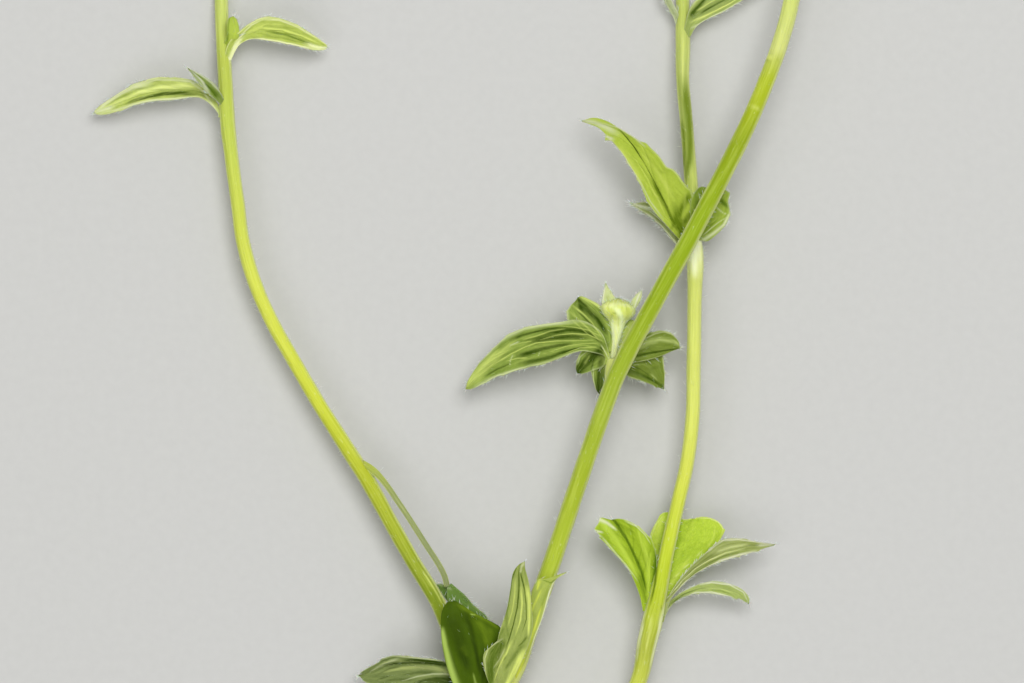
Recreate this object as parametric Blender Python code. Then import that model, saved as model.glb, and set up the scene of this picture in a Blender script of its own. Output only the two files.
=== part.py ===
"""Flowering stem of wood avens with one closed bud, lying on a flat surface.

Plan points are in millimetres: +X to the right, +Y towards the tops of the stems, +Z up.
The origin is under the middle of the stem's box, on the surface.
"""

from collections import namedtuple
from math import cos, pi, sin

import bmesh
import bpy
from mathutils import Vector

MM = 0.001

# Stems are tubes: x, y, height and radius at each point, joined by a smooth curve.
STEM_SIDES = 8
STEM_STEP = 2.6
# Share of a curve's length used to find its direction at a point
SLOPE_STEP = 0.01

# Leaf blades, in millimetres
BLADE_THICKNESS = 0.7
SEAT_GAP = 0.3
SEAT_SEARCH_STEP = 0.2
BASE_HALF_WIDTH = 0.38
TIP_HALF_WIDTH = 0.16
ROW_STEP = 0.8
LEAST_ROWS = 6
FACES_ACROSS = 4
# A blade wider than this folds fully along its rib, a narrower one less
FULL_FOLD_WIDTH = 2.4

# Teeth of a blade's edge: depth, share of it cut inside the drawn edge, share of a tooth that rises
TOOTH_DEPTH = 0.35
INSIDE_SHARE = 0.85
TOOTH_RISE = 0.7
# Teeth grow from nothing over one fourth of the edge at the base and one fifth at the tip
BASE_FADE = 4
TIP_FADE = 5

# Bud: distance along its axis and radius, from the seat to the top
BUD_FOOT = (20.4, 7.15, 5.9)
BUD_TOP = (21.1, 14.2, 6.3)
BUD_SIDES = 12
BUD_PROFILE = ((0.0, 0.4), (0.16, 0.7), (0.45, 1.0), (0.6, 1.4), (0.74, 1.8), (0.88, 1.75), (0.96, 1.2))
SEPALS = 5
SEPAL_TURN = 0.2
SEPAL_HALF_WIDTH = 0.75
# A sepal whose direction lies further to the side than this share spreads, the others stay closed
SPREAD_SIDE = 0.6
# Each row of a sepal: distance along the bud's axis, reach out from it, share of the half width
SPREAD_SEPAL = ((0.55, 1.0, 0.8), (0.72, 1.5, 1.0), (0.88, 1.75, 0.75), (1.0, 1.9, 0.45), (1.14, 2.2, 0.15))
CLOSED_SEPAL = ((0.55, 1.0, 0.8), (0.72, 1.5, 1.0), (0.88, 1.5, 0.9), (0.96, 1.1, 0.65), (1.02, 0.6, 0.3))

# A blade is drawn by its rib, from base to tip, and by the points of its two edges.
# Edge points give x, y and how far the edge stands above the rib.
Blade = namedtuple("Blade", "stem seat rib left right teeth", defaults=(3,))

STEMS = {
    "main": (
        (14.5, -57.8, 1.36, 1.5), (13.8, -52.9, 1.36, 1.5), (11.9, -47.9, 2, 1.5),
        (8.1, -42.2, 3.2, 1.45),
        (5.5, -37.5, 4.4, 1.5), (8.4, -31.2, 5.2, 1.3), (10, -26.2, 5.8, 1.25),
        (12.8, -18.8, 6.8, 1.13),
        (16.1, -8.8, 7.9, 1.11), (19.5, 1.2, 8.8, 1.11), (21.6, 6.2, 9.1, 1.14),
        (25.6, 13.8, 9.4, 1.12),
        (31, 23.8, 9.6, 1.12), (36.1, 33.8, 9.4, 1.09), (39.5, 41.2, 8.9, 1.04), (42, 48.8, 8.2, 1.02),
        (43.7, 57, 7.4, 0.99),
    ),
    "left": (
        (5.5, -37.5, 4.4, 1.19), (2.8, -33, 4.4, 1.04), (0.6, -29.1, 4.3, 0.99),
        (-1.6, -23.8, 4.1, 0.96),
        (-4.6, -18.8, 3.9, 0.94), (-7.5, -13.8, 3.7, 0.94), (-10.2, -8.8, 3.6, 0.97),
        (-13.4, -3.8, 3.5, 0.93),
        (-16.6, 1.2, 3.4, 0.88), (-19.5, 6.2, 3.4, 0.88), (-22.3, 11.2, 3.4, 0.88),
        (-24.5, 16.2, 3.4, 0.87),
        (-25.9, 21.2, 3.4, 0.87), (-26.6, 26.2, 3.4, 0.87), (-27.3, 31.2, 3.4, 0.87),
        (-27.9, 36.2, 3.3, 0.95),
        (-28.2, 42.8, 2.9, 0.9), (-28.6, 48.8, 1.6, 0.85), (-28.7, 52.8, 0.78, 0.86),
        (-28.8, 57.5, 0.78, 0.86),
    ),
    "right": (
        (12.2, -48.5, 2, 1.2), (16.2, -44.8, 2.6, 1.12), (20.2, -40.4, 3.4, 1.1),
        (23.5, -33.8, 4.2, 1.05),
        (24.7, -28.8, 4.8, 1.24), (25.4, -25.8, 5, 1.3), (26.3, -21.6, 5.1, 1.03),
        (27.4, -16.2, 5.1, 0.92),
        (28.5, -11.2, 5, 0.89), (29.7, -6.2, 5, 0.89), (30.4, -0.4, 4.9, 0.89), (30.5, 6.2, 4.9, 0.9),
        (30.6, 13.8, 4.9, 0.9), (30.7, 18.8, 4.9, 1.05), (30.5, 22.1, 4.8, 1.03),
        (30.2, 28.8, 4.4, 0.84),
        (29.6, 36.2, 3.8, 0.82), (29.2, 41.2, 3.2, 0.82), (29.2, 46.2, 2.4, 0.92),
        (29.2, 51.2, 1.3, 0.85),
        (29.2, 54, 0.76, 0.85), (29.2, 57.8, 0.76, 0.84),
    ),
    "stalk": (
        (-11.5, -6.2, 3.6, 0.45), (-9.8, -7.2, 4, 0.45), (-8.2, -8.8, 4.3, 0.38),
        (-6.5, -11.2, 4.6, 0.36),
        (-5, -13.5, 4.8, 0.36), (-3.2, -16.2, 4.8, 0.36), (-1.6, -18.8, 4.6, 0.36),
        (-0.8, -20.4, 4.3, 0.36),
        (-0.4, -21.8, 3.9, 0.36),
    ),
    "pedicel": (
        (19.5, 1.6, 8.8, 0.55), (19.9, 3.2, 7.6, 0.6), (20.1, 5, 6.5, 0.75), (20.3, 6.4, 6, 0.8),
    ),
}

LEAVES = {
    "lower_bract": (
        Blade("left", (-28, 37.5),
              rib=((-32.5, 40, 3), (-36.2, 40.2, 3.1), (-40.2, 39.2, 2.9), (-44.8, 37.5, 2.2)),
              left=((-30.6, 38.1, 0.3), (-33.1, 39, 0.8), (-36.8, 39, 1), (-41.6, 37.6, 0.7)),
              right=((-30.6, 39.2, 0.3), (-31.5, 40.6, 0.8), (-33.2, 41.5, 1), (-36.4, 41.8, 1.1),
                     (-40, 40.8, 1), (-43, 39.1, 0.5))),
    ),
    "lower_stipule": (
        Blade("left", (-28.1, 38.6),
              rib=((-29.6, 40.2, 5), (-30.9, 41.5, 5.4), (-32.5, 42.9, 5.4)),
              left=((-30.4, 40, 0.2), (-31.5, 41.2, 0.3)),
              right=((-28.6, 40, 0.2), (-29.6, 41, 0.4), (-30.9, 42, 0.3))),
    ),
    "upper_bract": (
        Blade("left", (-28.2, 44),
              rib=((-26.5, 45.9, 3.6), (-24.5, 47.5, 4), (-20.6, 47.5, 3.9), (-17.8, 46.5, 3.3),
                   (-15.4, 45.6, 2.6)),
              left=((-27, 46, 0.2), (-25.9, 47.6, 0.7), (-24.2, 48.8, 1), (-22.5, 49.2, 1.1),
                    (-20, 48.8, 1), (-17.5, 47.4, 0.6)),
              right=((-26.1, 45.5, 0.2), (-24.9, 46.6, 0.5), (-23, 46.6, 0.8), (-20, 46, 0.8),
                     (-17.5, 45.5, 0.5))),
    ),
    "upper_stipule": (
        Blade("left", (-28.5, 46.2),
              rib=((-27.6, 47.4, 4.4), (-27.2, 48.8, 4.8), (-27.2, 50.4, 4.9)),
              left=((-28.1, 47.8, 0.2), (-27.9, 49.1, 0.2)),
              right=((-27, 47.6, 0.2), (-26.8, 49, 0.2))),
    ),
    "stalk_leaf": (
        Blade("stalk", (-0.4, -21.8),
              rib=((0.8, -22.8, 3.9), (1.9, -23.5, 3.7), (3.1, -24.4, 3.3)),
              left=((1.1, -22.2, 0.1), (2.2, -23.1, 0.15)),
              right=((0.4, -23.2, 0.1), (1.5, -24.1, 0.15))),
        Blade(None, (0.8, -23, 3.8),
              rib=((-0.1, -22.8, 3.2), (-0.8, -22.2, 3.1), (-1.4, -21.8, 3.1)),
              left=((-0.1, -23.2, 0), (-0.9, -22.6, 0)),
              right=((-0.1, -22.2, 0), (-0.6, -21.9, 0))),
    ),
    "dark_leaf": (
        Blade("left", (4, -35),
              rib=((4.1, -34.2, 6.5), (3, -31, 7), (1.5, -27.2, 7.2), (0.4, -23.6, 7.3)),
              left=((3, -34.2, 0), (1.6, -33, 0.4), (0.8, -31.2, 0.6), (-0.1, -28.9, 0.7),
                    (-0.8, -26.2, 0.6), (-0.5, -24.5, 0.3)),
              right=((4.9, -34, 0), (5.1, -32, 0.1), (5.9, -29.1, 0.4), (6.1, -26.6, 0.8),
                     (4.2, -25.5, 0.7), (2.5, -24.6, 0.5))),
    ),
    "striped_bract": (
        Blade("main", (5.8, -36.9),
              rib=((6.2, -34.8, 7.5), (6.9, -32, 8.5), (7.8, -28.5, 9.1), (8.5, -24.1, 9.8),
                   (8.9, -20.6, 10.5), (9.2, -18.5, 11.5)),
              left=((5.5, -34.5, 0), (5.9, -31.6, -0.1), (6.5, -28.2, -0.2), (7, -24.8, -0.3),
                    (7.6, -21.5, -0.3), (8.4, -19.5, -0.2)),
              right=((6.9, -34.8, 0), (7.9, -31.8, -0.1), (9.2, -28.2, -0.2), (10, -25, -0.4),
                     (10, -22.2, -0.4), (9.5, -19.8, -0.2))),
        Blade(None, (6.2, -35.1, 7.5),
              rib=((5.2, -33.5, 7.9), (4.9, -31.2, 8.4), (6.2, -28.9, 8.5)),
              left=((4.5, -33.2, 0.1), (4.1, -30.8, 0.2), (5.1, -29, 0.2)),
              right=((6.1, -33.8, 0), (6, -31.2, 0), (6.8, -29.5, 0.1))),
    ),
    "sheath": (
        Blade("main", (7.8, -33.1),
              rib=((8.8, -30.4, 7.4), (10.1, -26.6, 8), (11.6, -23, 8.55), (14.5, -20, 8.7)),
              left=((7.4, -31, -0.4), (8.8, -27.2, -0.45), (10.2, -23.8, -0.45), (12, -21.5, -0.2)),
              right=((9.6, -30.5, -0.4), (10.9, -27.5, -0.45), (12.4, -23.9, -0.45),
                     (13.5, -21.4, -0.2))),
    ),
    "left_bract": (
        Blade("left", (3.8, -34.6),
              rib=((0.6, -33.8, 4.3), (-3.1, -32.5, 4.4), (-7.5, -32, 4.2), (-12.1, -32.2, 3.6)),
              left=((1.2, -35.4, 0.3), (-2.5, -35.6, 0.9), (-6.2, -34.8, 1), (-9.4, -33.4, 0.6)),
              right=((0.6, -32.9, 0.2), (-1.5, -31.2, 0.6), (-3.4, -30.8, 0.8), (-6, -30.5, 0.9),
                     (-7.8, -30.6, 0.8), (-10, -31.5, 0.4))),
    ),
    "middle_leaf": (
        Blade("pedicel", (20.2, 5.9),
              rib=((18.8, 8, 6.3), (16.2, 9.4, 6.4), (13.2, 8.9, 6.2), (10, 8.2, 5.9),
                   (7.2, 7.2, 5.4), (4.8, 5.5, 4.8), (2.4, 2.9, 4)),
              left=((18.8, 7, 0), (16.6, 8.1, 0.1), (14.4, 7.4, 0.2), (12.1, 6.2, 0.3),
                    (9.5, 5.8, 0.4), (7.2, 5, 0.4), (5, 3.8, 0.2)),
              right=((18.8, 9.2, 0.1), (16.6, 10.6, 0.2), (14.4, 11.1, 0.3), (12.1, 11.1, 0.4),
                     (9.9, 10.8, 0.5), (7.6, 10, 0.5), (5.6, 8.8, 0.4), (3.9, 6.8, 0.2))),
        Blade(None, (19.1, 7.8, 6.1),
              rib=((19.1, 9, 5.9), (18.4, 11.2, 5.6), (17, 12.8, 5.3), (15.9, 14.2, 5)),
              left=((18.4, 9.2, 0), (16.6, 10.8, 0.1), (15.1, 12.2, 0.2), (15.2, 13.6, 0.1)),
              right=((19.4, 9.5, 0), (18.8, 11.2, 0.2), (18, 12.6, 0.3), (16.8, 14, 0.2))),
        Blade(None, (18.4, 8, 6.2),
              rib=((17.2, 6.8, 5.4), (15.9, 5, 4.6)),
              left=((18.4, 6.2, 0.1), (17.4, 5.2, 0.2)),
              right=((17.5, 7.9, 0.1), (16.1, 6.4, 0.2))),
        Blade(None, (18.8, 7.6, 6),
              rib=((18.4, 5.9, 5.4), (18.4, 4, 4.7), (18.4, 2, 3.8)),
              left=((19, 6, 0.1), (19.1, 3.8, 0.1)),
              right=((17.6, 5.8, 0.1), (17.8, 3.8, 0.1))),
    ),
    "right_leaf": (
        Blade("pedicel", (20.2, 5.8),
              rib=((22.9, 7.2, 6), (25, 8.2, 6), (27.2, 8.8, 5.6), (28.8, 7.9, 5)),
              left=((22.5, 8.2, 0), (24.2, 9.2, 0.2), (25.6, 9.8, 0.3), (26.9, 10.1, 0.3),
                    (28.1, 9.5, 0.1)),
              right=((22.8, 6.2, 0), (24.8, 6.8, 0.1), (26.6, 7.2, 0.1), (28, 7.6, 0.1))),
        Blade(None, (21.9, 6.5, 6.1),
              rib=((22.6, 6, 5.9), (23.8, 5.5, 5.6), (25.2, 4.4, 5), (26.5, 3.2, 4.4)),
              left=((23.5, 7, 0), (25.8, 7, 0.2), (26.6, 5.8, 0.2), (26.8, 4.4, 0.1)),
              right=((21.9, 5.2, 0), (23, 4.1, 0.1), (24.8, 3.5, 0.1))),
    ),
    "large_leaf": (
        Blade("right", (30.2, 21.1),
              rib=((28.1, 23.4, 6), (27.1, 25.6, 6.5), (25.6, 29.1, 6.8), (23.6, 32.5, 6.8),
                   (21.6, 34.9, 6.6), (18.8, 36, 6.2), (16.5, 36.5, 5.6)),
              left=((27.4, 23.6, 0.3), (26.1, 25.1, 0.7), (24.9, 26.6, 0.9), (24, 28.6, 1),
                    (22.9, 30.4, 1), (21.9, 32.1, 0.9), (20.8, 33.4, 0.7), (19.2, 34.8, 0.4)),
              right=((29.1, 23.2, 0.3), (28.8, 25.6, 0.8), (28.8, 28, 1.1), (28.1, 29.5, 1.2),
                     (26.5, 30.9, 1.2), (25.5, 32.5, 1.1), (23.2, 33.9, 0.9), (22, 35, 0.7),
                     (20.1, 36, 0.4), (18.2, 36.5, 0.2))),
    ),
    "thin_lobe": (
        Blade("right", (30.4, 19.8),
              rib=((28.2, 22, 4.5), (26.5, 24.1, 4.3), (24.8, 25.4, 4.1), (22.6, 25.9, 3.9)),
              left=((27, 22.4, 0.1), (25.2, 23.9, 0.2), (23.6, 25.1, 0.1)),
              right=((28.2, 23.4, 0.1), (26.8, 25.1, 0.2), (24.6, 26.2, 0.1))),
    ),
    "folded_stipule": (
        Blade("right", (30.4, 22),
              rib=((31, 23.2, 6.6), (31.5, 25.5, 7), (31.9, 27.8, 7.2)),
              left=((30, 23, 0), (30, 24.8, 0.2), (30.2, 26.5, 0.3), (31, 27.8, 0.2)),
              right=((32.9, 22.5, 0), (34.5, 23.8, 0.3), (35, 25.8, 0.4), (33.9, 27.4, 0.2))),
    ),
    "left_leaflet": (
        Blade("right", (25.1, -25),
              rib=((24, -22.5, 5.1), (23.5, -20, 5.3), (22.4, -16.8, 5.4), (20.4, -13.4, 5.2)),
              left=((23.4, -22.6, 0.3), (22.5, -20.1, 0.6), (19.6, -17.5, 0.9), (17.9, -15, 0.8),
                    (18.8, -13.2, 0.4)),
              right=((24.5, -22.2, 0.3), (25, -18.8, 1), (24.6, -16.1, 1.2), (23.4, -14.2, 1),
                     (21.9, -13.5, 0.5))),
    ),
    "broad_leaflet": (
        Blade("right", (25.8, -23.5),
              rib=((26.8, -21.5, 3.2), (28, -18.5, 3.1), (29.2, -15.4, 3), (30.1, -13, 2.8)),
              left=((25.5, -21.5, 0.1), (25.2, -18.5, 0.3), (25, -15.4, 0.5), (25.9, -13.6, 0.5),
                    (27.6, -12.9, 0.3)),
              right=((28, -22.2, 0.1), (30.2, -20, 0.3), (32.9, -17.6, 0.5), (34.1, -16.1, 0.6),
                     (34.1, -14.4, 0.5), (32.4, -13.4, 0.3))),
    ),
    "grey_leaflet": (
        Blade("right", (25.1, -26),
              rib=((27.9, -23, 5.5), (30.2, -20.4, 5.3), (34, -17.8, 4.9), (37.5, -16.9, 4.4),
                   (40.5, -16.6, 3.8)),
              left=((28, -21.9, 0.2), (30.9, -18.8, 0.4), (33.6, -16.5, 0.5), (35.9, -16, 0.4),
                    (38.1, -16.2, 0.2)),
              right=((28.8, -22.9, 0.1), (31.1, -20.8, 0.2), (33.8, -19.1, 0.2), (36.5, -18, 0.1),
                     (38.8, -17.4, 0.1))),
    ),
    "thin_leaflet": (
        Blade("right", (25, -26.8),
              rib=((28.2, -23.9, 3.6), (31.2, -22, 3.7), (34.4, -22.2, 3.7), (37.2, -24.1, 3)),
              left=((28, -23.1, 0.1), (30.2, -21.8, 0.2), (32.2, -21.2, 0.3), (34.8, -21.4, 0.3),
                    (36.8, -22.8, 0.2)),
              right=((28.2, -24.5, 0), (30, -23.2, 0.1), (32.5, -22.9, 0.2), (35, -23.5, 0.1),
                     (36.4, -24.2, 0.1))),
    ),
    "top_leaf": (
        Blade("right", (29.1, 47.2),
              rib=((31.5, 49.1, 2.9), (33.8, 50.5, 3.2), (36.5, 52.2, 3), (39.4, 53, 2.4)),
              left=((30.9, 50, 0.3), (32.8, 51.9, 0.6), (35.6, 53.6, 0.6), (37.8, 53.8, 0.3)),
              right=((32, 48.5, 0.2), (34.1, 49.8, 0.4), (36.2, 51.1, 0.4), (38.2, 52.2, 0.2))),
    ),
    "top_stipule": (
        Blade("right", (29.1, 48.5),
              rib=((27.2, 50.5, 2.2), (26.8, 51.8, 2.5), (26.2, 53.2, 2.5)),
              left=((26.8, 50.5, 0.1), (26.1, 51.9, 0.1)),
              right=((27.8, 50.8, 0.1), (27.2, 52.2, 0.1))),
    ),
}
LEAF_COLOURS = {
    "dark_leaf": (0.06, 0.11, 0.008),
    "middle_leaf": (0.15, 0.22, 0.03),
    "right_leaf": (0.18, 0.25, 0.04),
    "folded_stipule": (0.2, 0.28, 0.02),
    "striped_bract": (0.42, 0.5, 0.13),
    "sheath": (0.42, 0.46, 0.22),
    "grey_leaflet": (0.36, 0.42, 0.17),
    "thin_leaflet": (0.33, 0.42, 0.14),
}
LEAF_COLOUR = (0.38, 0.52, 0.06)
STEM_COLOUR = (0.5, 0.62, 0.08)
BUD_COLOUR = (0.72, 0.78, 0.25)


def smooth_curve(points, t):
    """Point at t, from 0 to 1, on a curve through the points, by share of their total length."""
    points = [Vector(p) for p in points]
    runs = [(b.xyz - a.xyz).length for a, b in zip(points, points[1:])]
    reach = t * sum(runs)
    i = 0
    while i < len(runs) - 1 and reach > runs[i]:
        reach -= runs[i]
        i += 1
    u = min(1.0, reach / runs[i])
    p1, p2 = points[i], points[i + 1]
    p0 = points[i - 1] if i else p1 * 2 - p2
    p3 = points[i + 2] if i + 2 < len(points) else p2 * 2 - p1
    slope1 = (p2 - p0) / 2
    slope2 = (p3 - p1) / 2
    return (p1 * (2 * u**3 - 3 * u**2 + 1) + slope1 * (u**3 - 2 * u**2 + u)
            + p2 * (3 * u**2 - 2 * u**3) + slope2 * (u**3 - u**2))


def direction_at(points, t):
    """Direction of the curve at t, from a point just behind it to one just ahead."""
    behind = smooth_curve(points, max(0, t - SLOPE_STEP))
    return smooth_curve(points, min(1, t + SLOPE_STEP)).xyz - behind.xyz


def length(points):
    return sum((Vector(b[:3]) - Vector(a[:3])).length for a, b in zip(points, points[1:]))


def closed_mesh(name, points, faces):
    """A mesh from points in millimetres and faces that point outwards."""
    mesh = bpy.data.meshes.new(name)
    mesh.from_pydata([Vector(p) * MM for p in points], [], faces)
    mesh.update()
    return mesh


def rings_mesh(name, rings):
    """A closed tube through rings of equal length, with flat ends."""
    count = len(rings[0])
    points = [p for ring in rings for p in ring]
    faces = [list(range(count))]
    for row in range(len(rings) - 1):
        for i in range(count):
            j = (i + 1) % count
            a, b = row * count, (row + 1) * count
            faces.append([a + i, b + i, b + j, a + j])
    last = (len(rings) - 1) * count
    faces.append([last + i for i in reversed(range(count))])
    return closed_mesh(name, points, faces)


def across(direction):
    """Unit vector in the plan, a quarter turn left of the direction."""
    return Vector((-direction.y, direction.x, 0)).normalized()


def stem_mesh(name, points):
    """One stem as a tube whose lower side is flat, so its ends can rest on the surface."""
    rows = round(length(points) / STEM_STEP)
    rings = []
    for row in range(rows + 1):
        t = row / rows
        here = smooth_curve(points, t)
        ahead = direction_at(points, t)
        side = -across(ahead)
        upward = side.cross(ahead).normalized()
        ring = []
        for i in range(STEM_SIDES):
            turn = 2 * pi * (i + 0.5) / STEM_SIDES
            p = here.xyz + here.w * (side * cos(turn) + upward * sin(turn))
            p.z = max(0, p.z)
            ring.append(p)
        rings.append(ring)
    return rings_mesh(name, rings)


def seat_of(blade):
    """Where the blade starts: inside its main lobe, or beside its stem with a small gap."""
    if blade.stem is None:
        return Vector(blade.seat)
    points = STEMS[blade.stem]
    steps = round(length(points) / SEAT_SEARCH_STEP)
    near = min((i / steps for i in range(steps + 1)),
               key=lambda t: (smooth_curve(points, t).xy - Vector(blade.seat)).length)
    here = smooth_curve(points, near)
    along = direction_at(points, near)
    out = Vector(blade.rib[0]) - here.xyz
    out -= out.project(along)
    out.normalize()
    wide = abs(out.dot(across(Vector(blade.rib[0]) - here.xyz))) * BASE_HALF_WIDTH
    thick = abs(out.z) * BLADE_THICKNESS / 2
    return here.xyz + out * (here.w + SEAT_GAP + wide + thick)


def tooth(t, teeth):
    """Height of the cut edge, from 0 to 1: a row of teeth that lean towards the tip."""
    if not teeth:
        return 0
    place = (t * (teeth + 0.5)) % 1
    rise = place / TOOTH_RISE if place < TOOTH_RISE else (1 - place) / (1 - TOOTH_RISE)
    return rise * min(1, BASE_FADE * t) * min(1, TIP_FADE * (1 - t))


def blade_mesh(name, blade):
    """A thin curved solid between the blade's two edges, folded along its rib."""
    start = seat_of(blade)
    first = across(Vector(blade.rib[0]) - start) * BASE_HALF_WIDTH
    tip = Vector(blade.rib[-1])
    last = across(tip - Vector(blade.rib[-2])) * TIP_HALF_WIDTH
    rib = [start, *blade.rib]
    flat_start, flat_tip = start * 1, tip * 1
    flat_start.z = flat_tip.z = 0
    left = [flat_start + first, *blade.left, flat_tip + last]
    right = [flat_start - first, *blade.right, flat_tip - last]
    rows = max(LEAST_ROWS, round(length(blade.rib) / ROW_STEP))
    grid = []
    for row in range(rows + 1):
        t = row / rows
        middle = smooth_curve(rib, t)
        line = []
        for i in range(FACES_ACROSS + 1):
            s = 2 * i / FACES_ACROSS - 1
            edge = smooth_curve(left if s < 0 else right, t)
            edge.z += middle.z
            reach = edge - middle
            cut = TOOTH_DEPTH * (tooth(t, blade.teeth) - INSIDE_SHARE)
            reach += reach.normalized() * cut * min(1, reach.length / FULL_FOLD_WIDTH)
            line.append(middle + reach * abs(s))
        grid.append(line)
    return plate_mesh(name, grid)


def plate_mesh(name, grid):
    """Thickens a grid of points evenly on both sides and closes its rim."""
    rows, columns = len(grid), len(grid[0])
    points = []
    for side in (0.5, -0.5):
        for r in range(rows):
            normals = []
            for c in range(columns):
                forward = grid[min(r + 1, rows - 1)][c] - grid[max(r - 1, 0)][c]
                sideways = grid[r][min(c + 1, columns - 1)] - grid[r][max(c - 1, 0)]
                normals.append(sideways.cross(forward).normalized())
            shared = sum(normals, Vector((0, 0, 0))).normalized()
            width = (grid[r][-1] - grid[r][0]).length
            own = min(1, width / FULL_FOLD_WIDTH)
            for c in range(columns):
                normal = shared.lerp(normals[c], own).normalized()
                points.append(grid[r][c] + normal * side * BLADE_THICKNESS)
    under = rows * columns
    faces = []
    for r in range(rows - 1):
        for c in range(columns - 1):
            a = r * columns + c
            b, d, e = a + 1, a + columns, a + columns + 1
            faces += [(a, b, e), (a, e, d)]
            faces += [(under + a, under + e, under + b), (under + a, under + d, under + e)]
    rim = list(range(columns))
    rim += [r * columns + columns - 1 for r in range(1, rows)]
    rim += [(rows - 1) * columns + c for c in range(columns - 2, -1, -1)]
    rim += [r * columns for r in range(rows - 2, 0, -1)]
    for a, b in zip(rim, rim[1:] + rim[:1]):
        faces.append((b, a, under + a))
        faces.append((b, under + a, under + b))
    return closed_mesh(name, points, faces)


def bud_meshes():
    """The closed bud: a funnel under a dome, with pointed sepals standing out of it."""
    foot, top = Vector(BUD_FOOT), Vector(BUD_TOP)
    axis = top - foot
    side = across(axis) * -1
    front = side.cross(axis).normalized()
    rings = []
    for share, radius in BUD_PROFILE:
        turns = [2 * pi * i / BUD_SIDES for i in range(BUD_SIDES)]
        rings.append([foot + axis * share + radius * (side * cos(a) + front * sin(a)) for a in turns])
    meshes = [rings_mesh("bud_dome", rings)]
    for i in range(SEPALS):
        turn = 2 * pi * i / SEPALS + SEPAL_TURN
        out = side * cos(turn) + front * sin(turn)
        round_dome = axis.normalized().cross(out)
        grid = []
        for share, reach, width in SPREAD_SEPAL if abs(cos(turn)) > SPREAD_SIDE else CLOSED_SEPAL:
            middle = foot + axis * share + out * reach
            half = round_dome * width * SEPAL_HALF_WIDTH
            grid.append([middle + half * s for s in (-1, 0, 1)])
        meshes.append(plate_mesh("sepal", grid))
    return meshes


def material(name, colour):
    """A plain leaf-like finish."""
    made = bpy.data.materials.new(name)
    made.use_nodes = True
    shader = made.node_tree.nodes["Principled BSDF"]
    shader.inputs["Base Color"].default_value = (*colour, 1)
    shader.inputs["Roughness"].default_value = 0.6
    shader.inputs["Metallic"].default_value = 0.0
    return made


def place(name, meshes, colour):
    """Puts one named piece in the scene, with its meshes grown together by a Boolean union."""
    piece = bpy.data.objects.new(name, meshes[0])
    bpy.context.scene.collection.objects.link(piece)
    if len(meshes) > 1:
        group = bpy.data.collections.new(name + "_parts")
        bpy.context.scene.collection.children.link(group)
        for mesh in meshes[1:]:
            group.objects.link(bpy.data.objects.new(mesh.name, mesh))
        join = piece.modifiers.new("grow_together", "BOOLEAN")
        join.operation = "UNION"
        join.operand_type = "COLLECTION"
        join.collection = group
        join.solver = "MANIFOLD"
        shape = piece.evaluated_get(bpy.context.evaluated_depsgraph_get())
        fused = bpy.data.meshes.new_from_object(shape)
        piece.modifiers.clear()
        piece.data = fused
        for part in list(group.objects):
            bpy.data.objects.remove(part)
        bpy.data.collections.remove(group)
    piece.data.name = name
    piece.data.materials.clear()
    piece.data.materials.append(material(name, colour))
    piece.data.shade_smooth()
    piece.data.set_sharp_from_angle(angle=pi / 4)
    return piece


def main():
    for old in list(bpy.data.objects):
        bpy.data.objects.remove(old)
    place("stem", [stem_mesh(name, points) for name, points in STEMS.items()], STEM_COLOUR)
    place("bud", bud_meshes(), BUD_COLOUR)
    for name, blades in LEAVES.items():
        place(name, [blade_mesh(name, blade) for blade in blades], LEAF_COLOURS.get(name, LEAF_COLOUR))


main()
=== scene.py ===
"""Looks of the wood avens stem: fine stems, veined leaves, a hairy bud, the floor, light and camera.

Lengths are in millimetres where nothing else is said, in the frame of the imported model: +X right,
+Y to the stem tops, +Z up.
"""

import random
from collections import namedtuple
from math import cos, exp, pi, sin

import bpy
import numpy as np
from bpy.props import FloatProperty, FloatVectorProperty, IntProperty, PointerProperty
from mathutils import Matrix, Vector, noise


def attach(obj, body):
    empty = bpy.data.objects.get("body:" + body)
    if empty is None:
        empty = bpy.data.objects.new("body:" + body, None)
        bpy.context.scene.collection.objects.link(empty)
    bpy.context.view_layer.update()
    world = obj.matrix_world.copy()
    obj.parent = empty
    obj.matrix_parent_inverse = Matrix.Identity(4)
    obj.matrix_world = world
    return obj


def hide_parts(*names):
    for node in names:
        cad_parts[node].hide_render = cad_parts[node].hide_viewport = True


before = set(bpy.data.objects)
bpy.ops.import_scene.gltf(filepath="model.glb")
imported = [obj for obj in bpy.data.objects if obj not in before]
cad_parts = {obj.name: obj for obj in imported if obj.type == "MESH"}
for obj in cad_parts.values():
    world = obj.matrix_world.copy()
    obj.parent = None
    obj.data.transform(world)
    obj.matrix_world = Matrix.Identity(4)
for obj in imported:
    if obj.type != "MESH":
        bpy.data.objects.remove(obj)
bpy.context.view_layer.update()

bl_info = {
    "name": "Wood avens stem",
    "version": (1, 0, 0),
    "blender": (4, 5, 0),
    "location": "3D View > Sidebar > Wood avens",
    "description": "Builds the fine stems, leaves, bud and hairs over the packed model",
    "category": "Object",
}

MM = 0.001
LEAST_LENGTH = 1e-6
LEAST_AREA = 1e-9

# Stems: depths of ribs, bumps and flared joints are shares of the radius
SLOPE_STEP = 0.01
STEM_SIDES = 28
STEM_STEP = 0.45
PLAN_HALF = 58.0
RIBS = 5
RIB_DEPTH = 0.014
RIB_TWIST = 0.05
BUMP_DEPTH = 0.035
BUMP_ALONG = 0.35
BUMP_AROUND = 0.6
MARK_FACING = 3
JOINED = ("left", "right", "stalk", "pedicel")
FLARE = 0.22
FLARE_LENGTH = 1.6
CUT_RINGS = (1.0, 0.99, 0.96, 0.8, 0.55, 0.3, 0.08)
CUT_EDGE = 0.98

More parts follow.
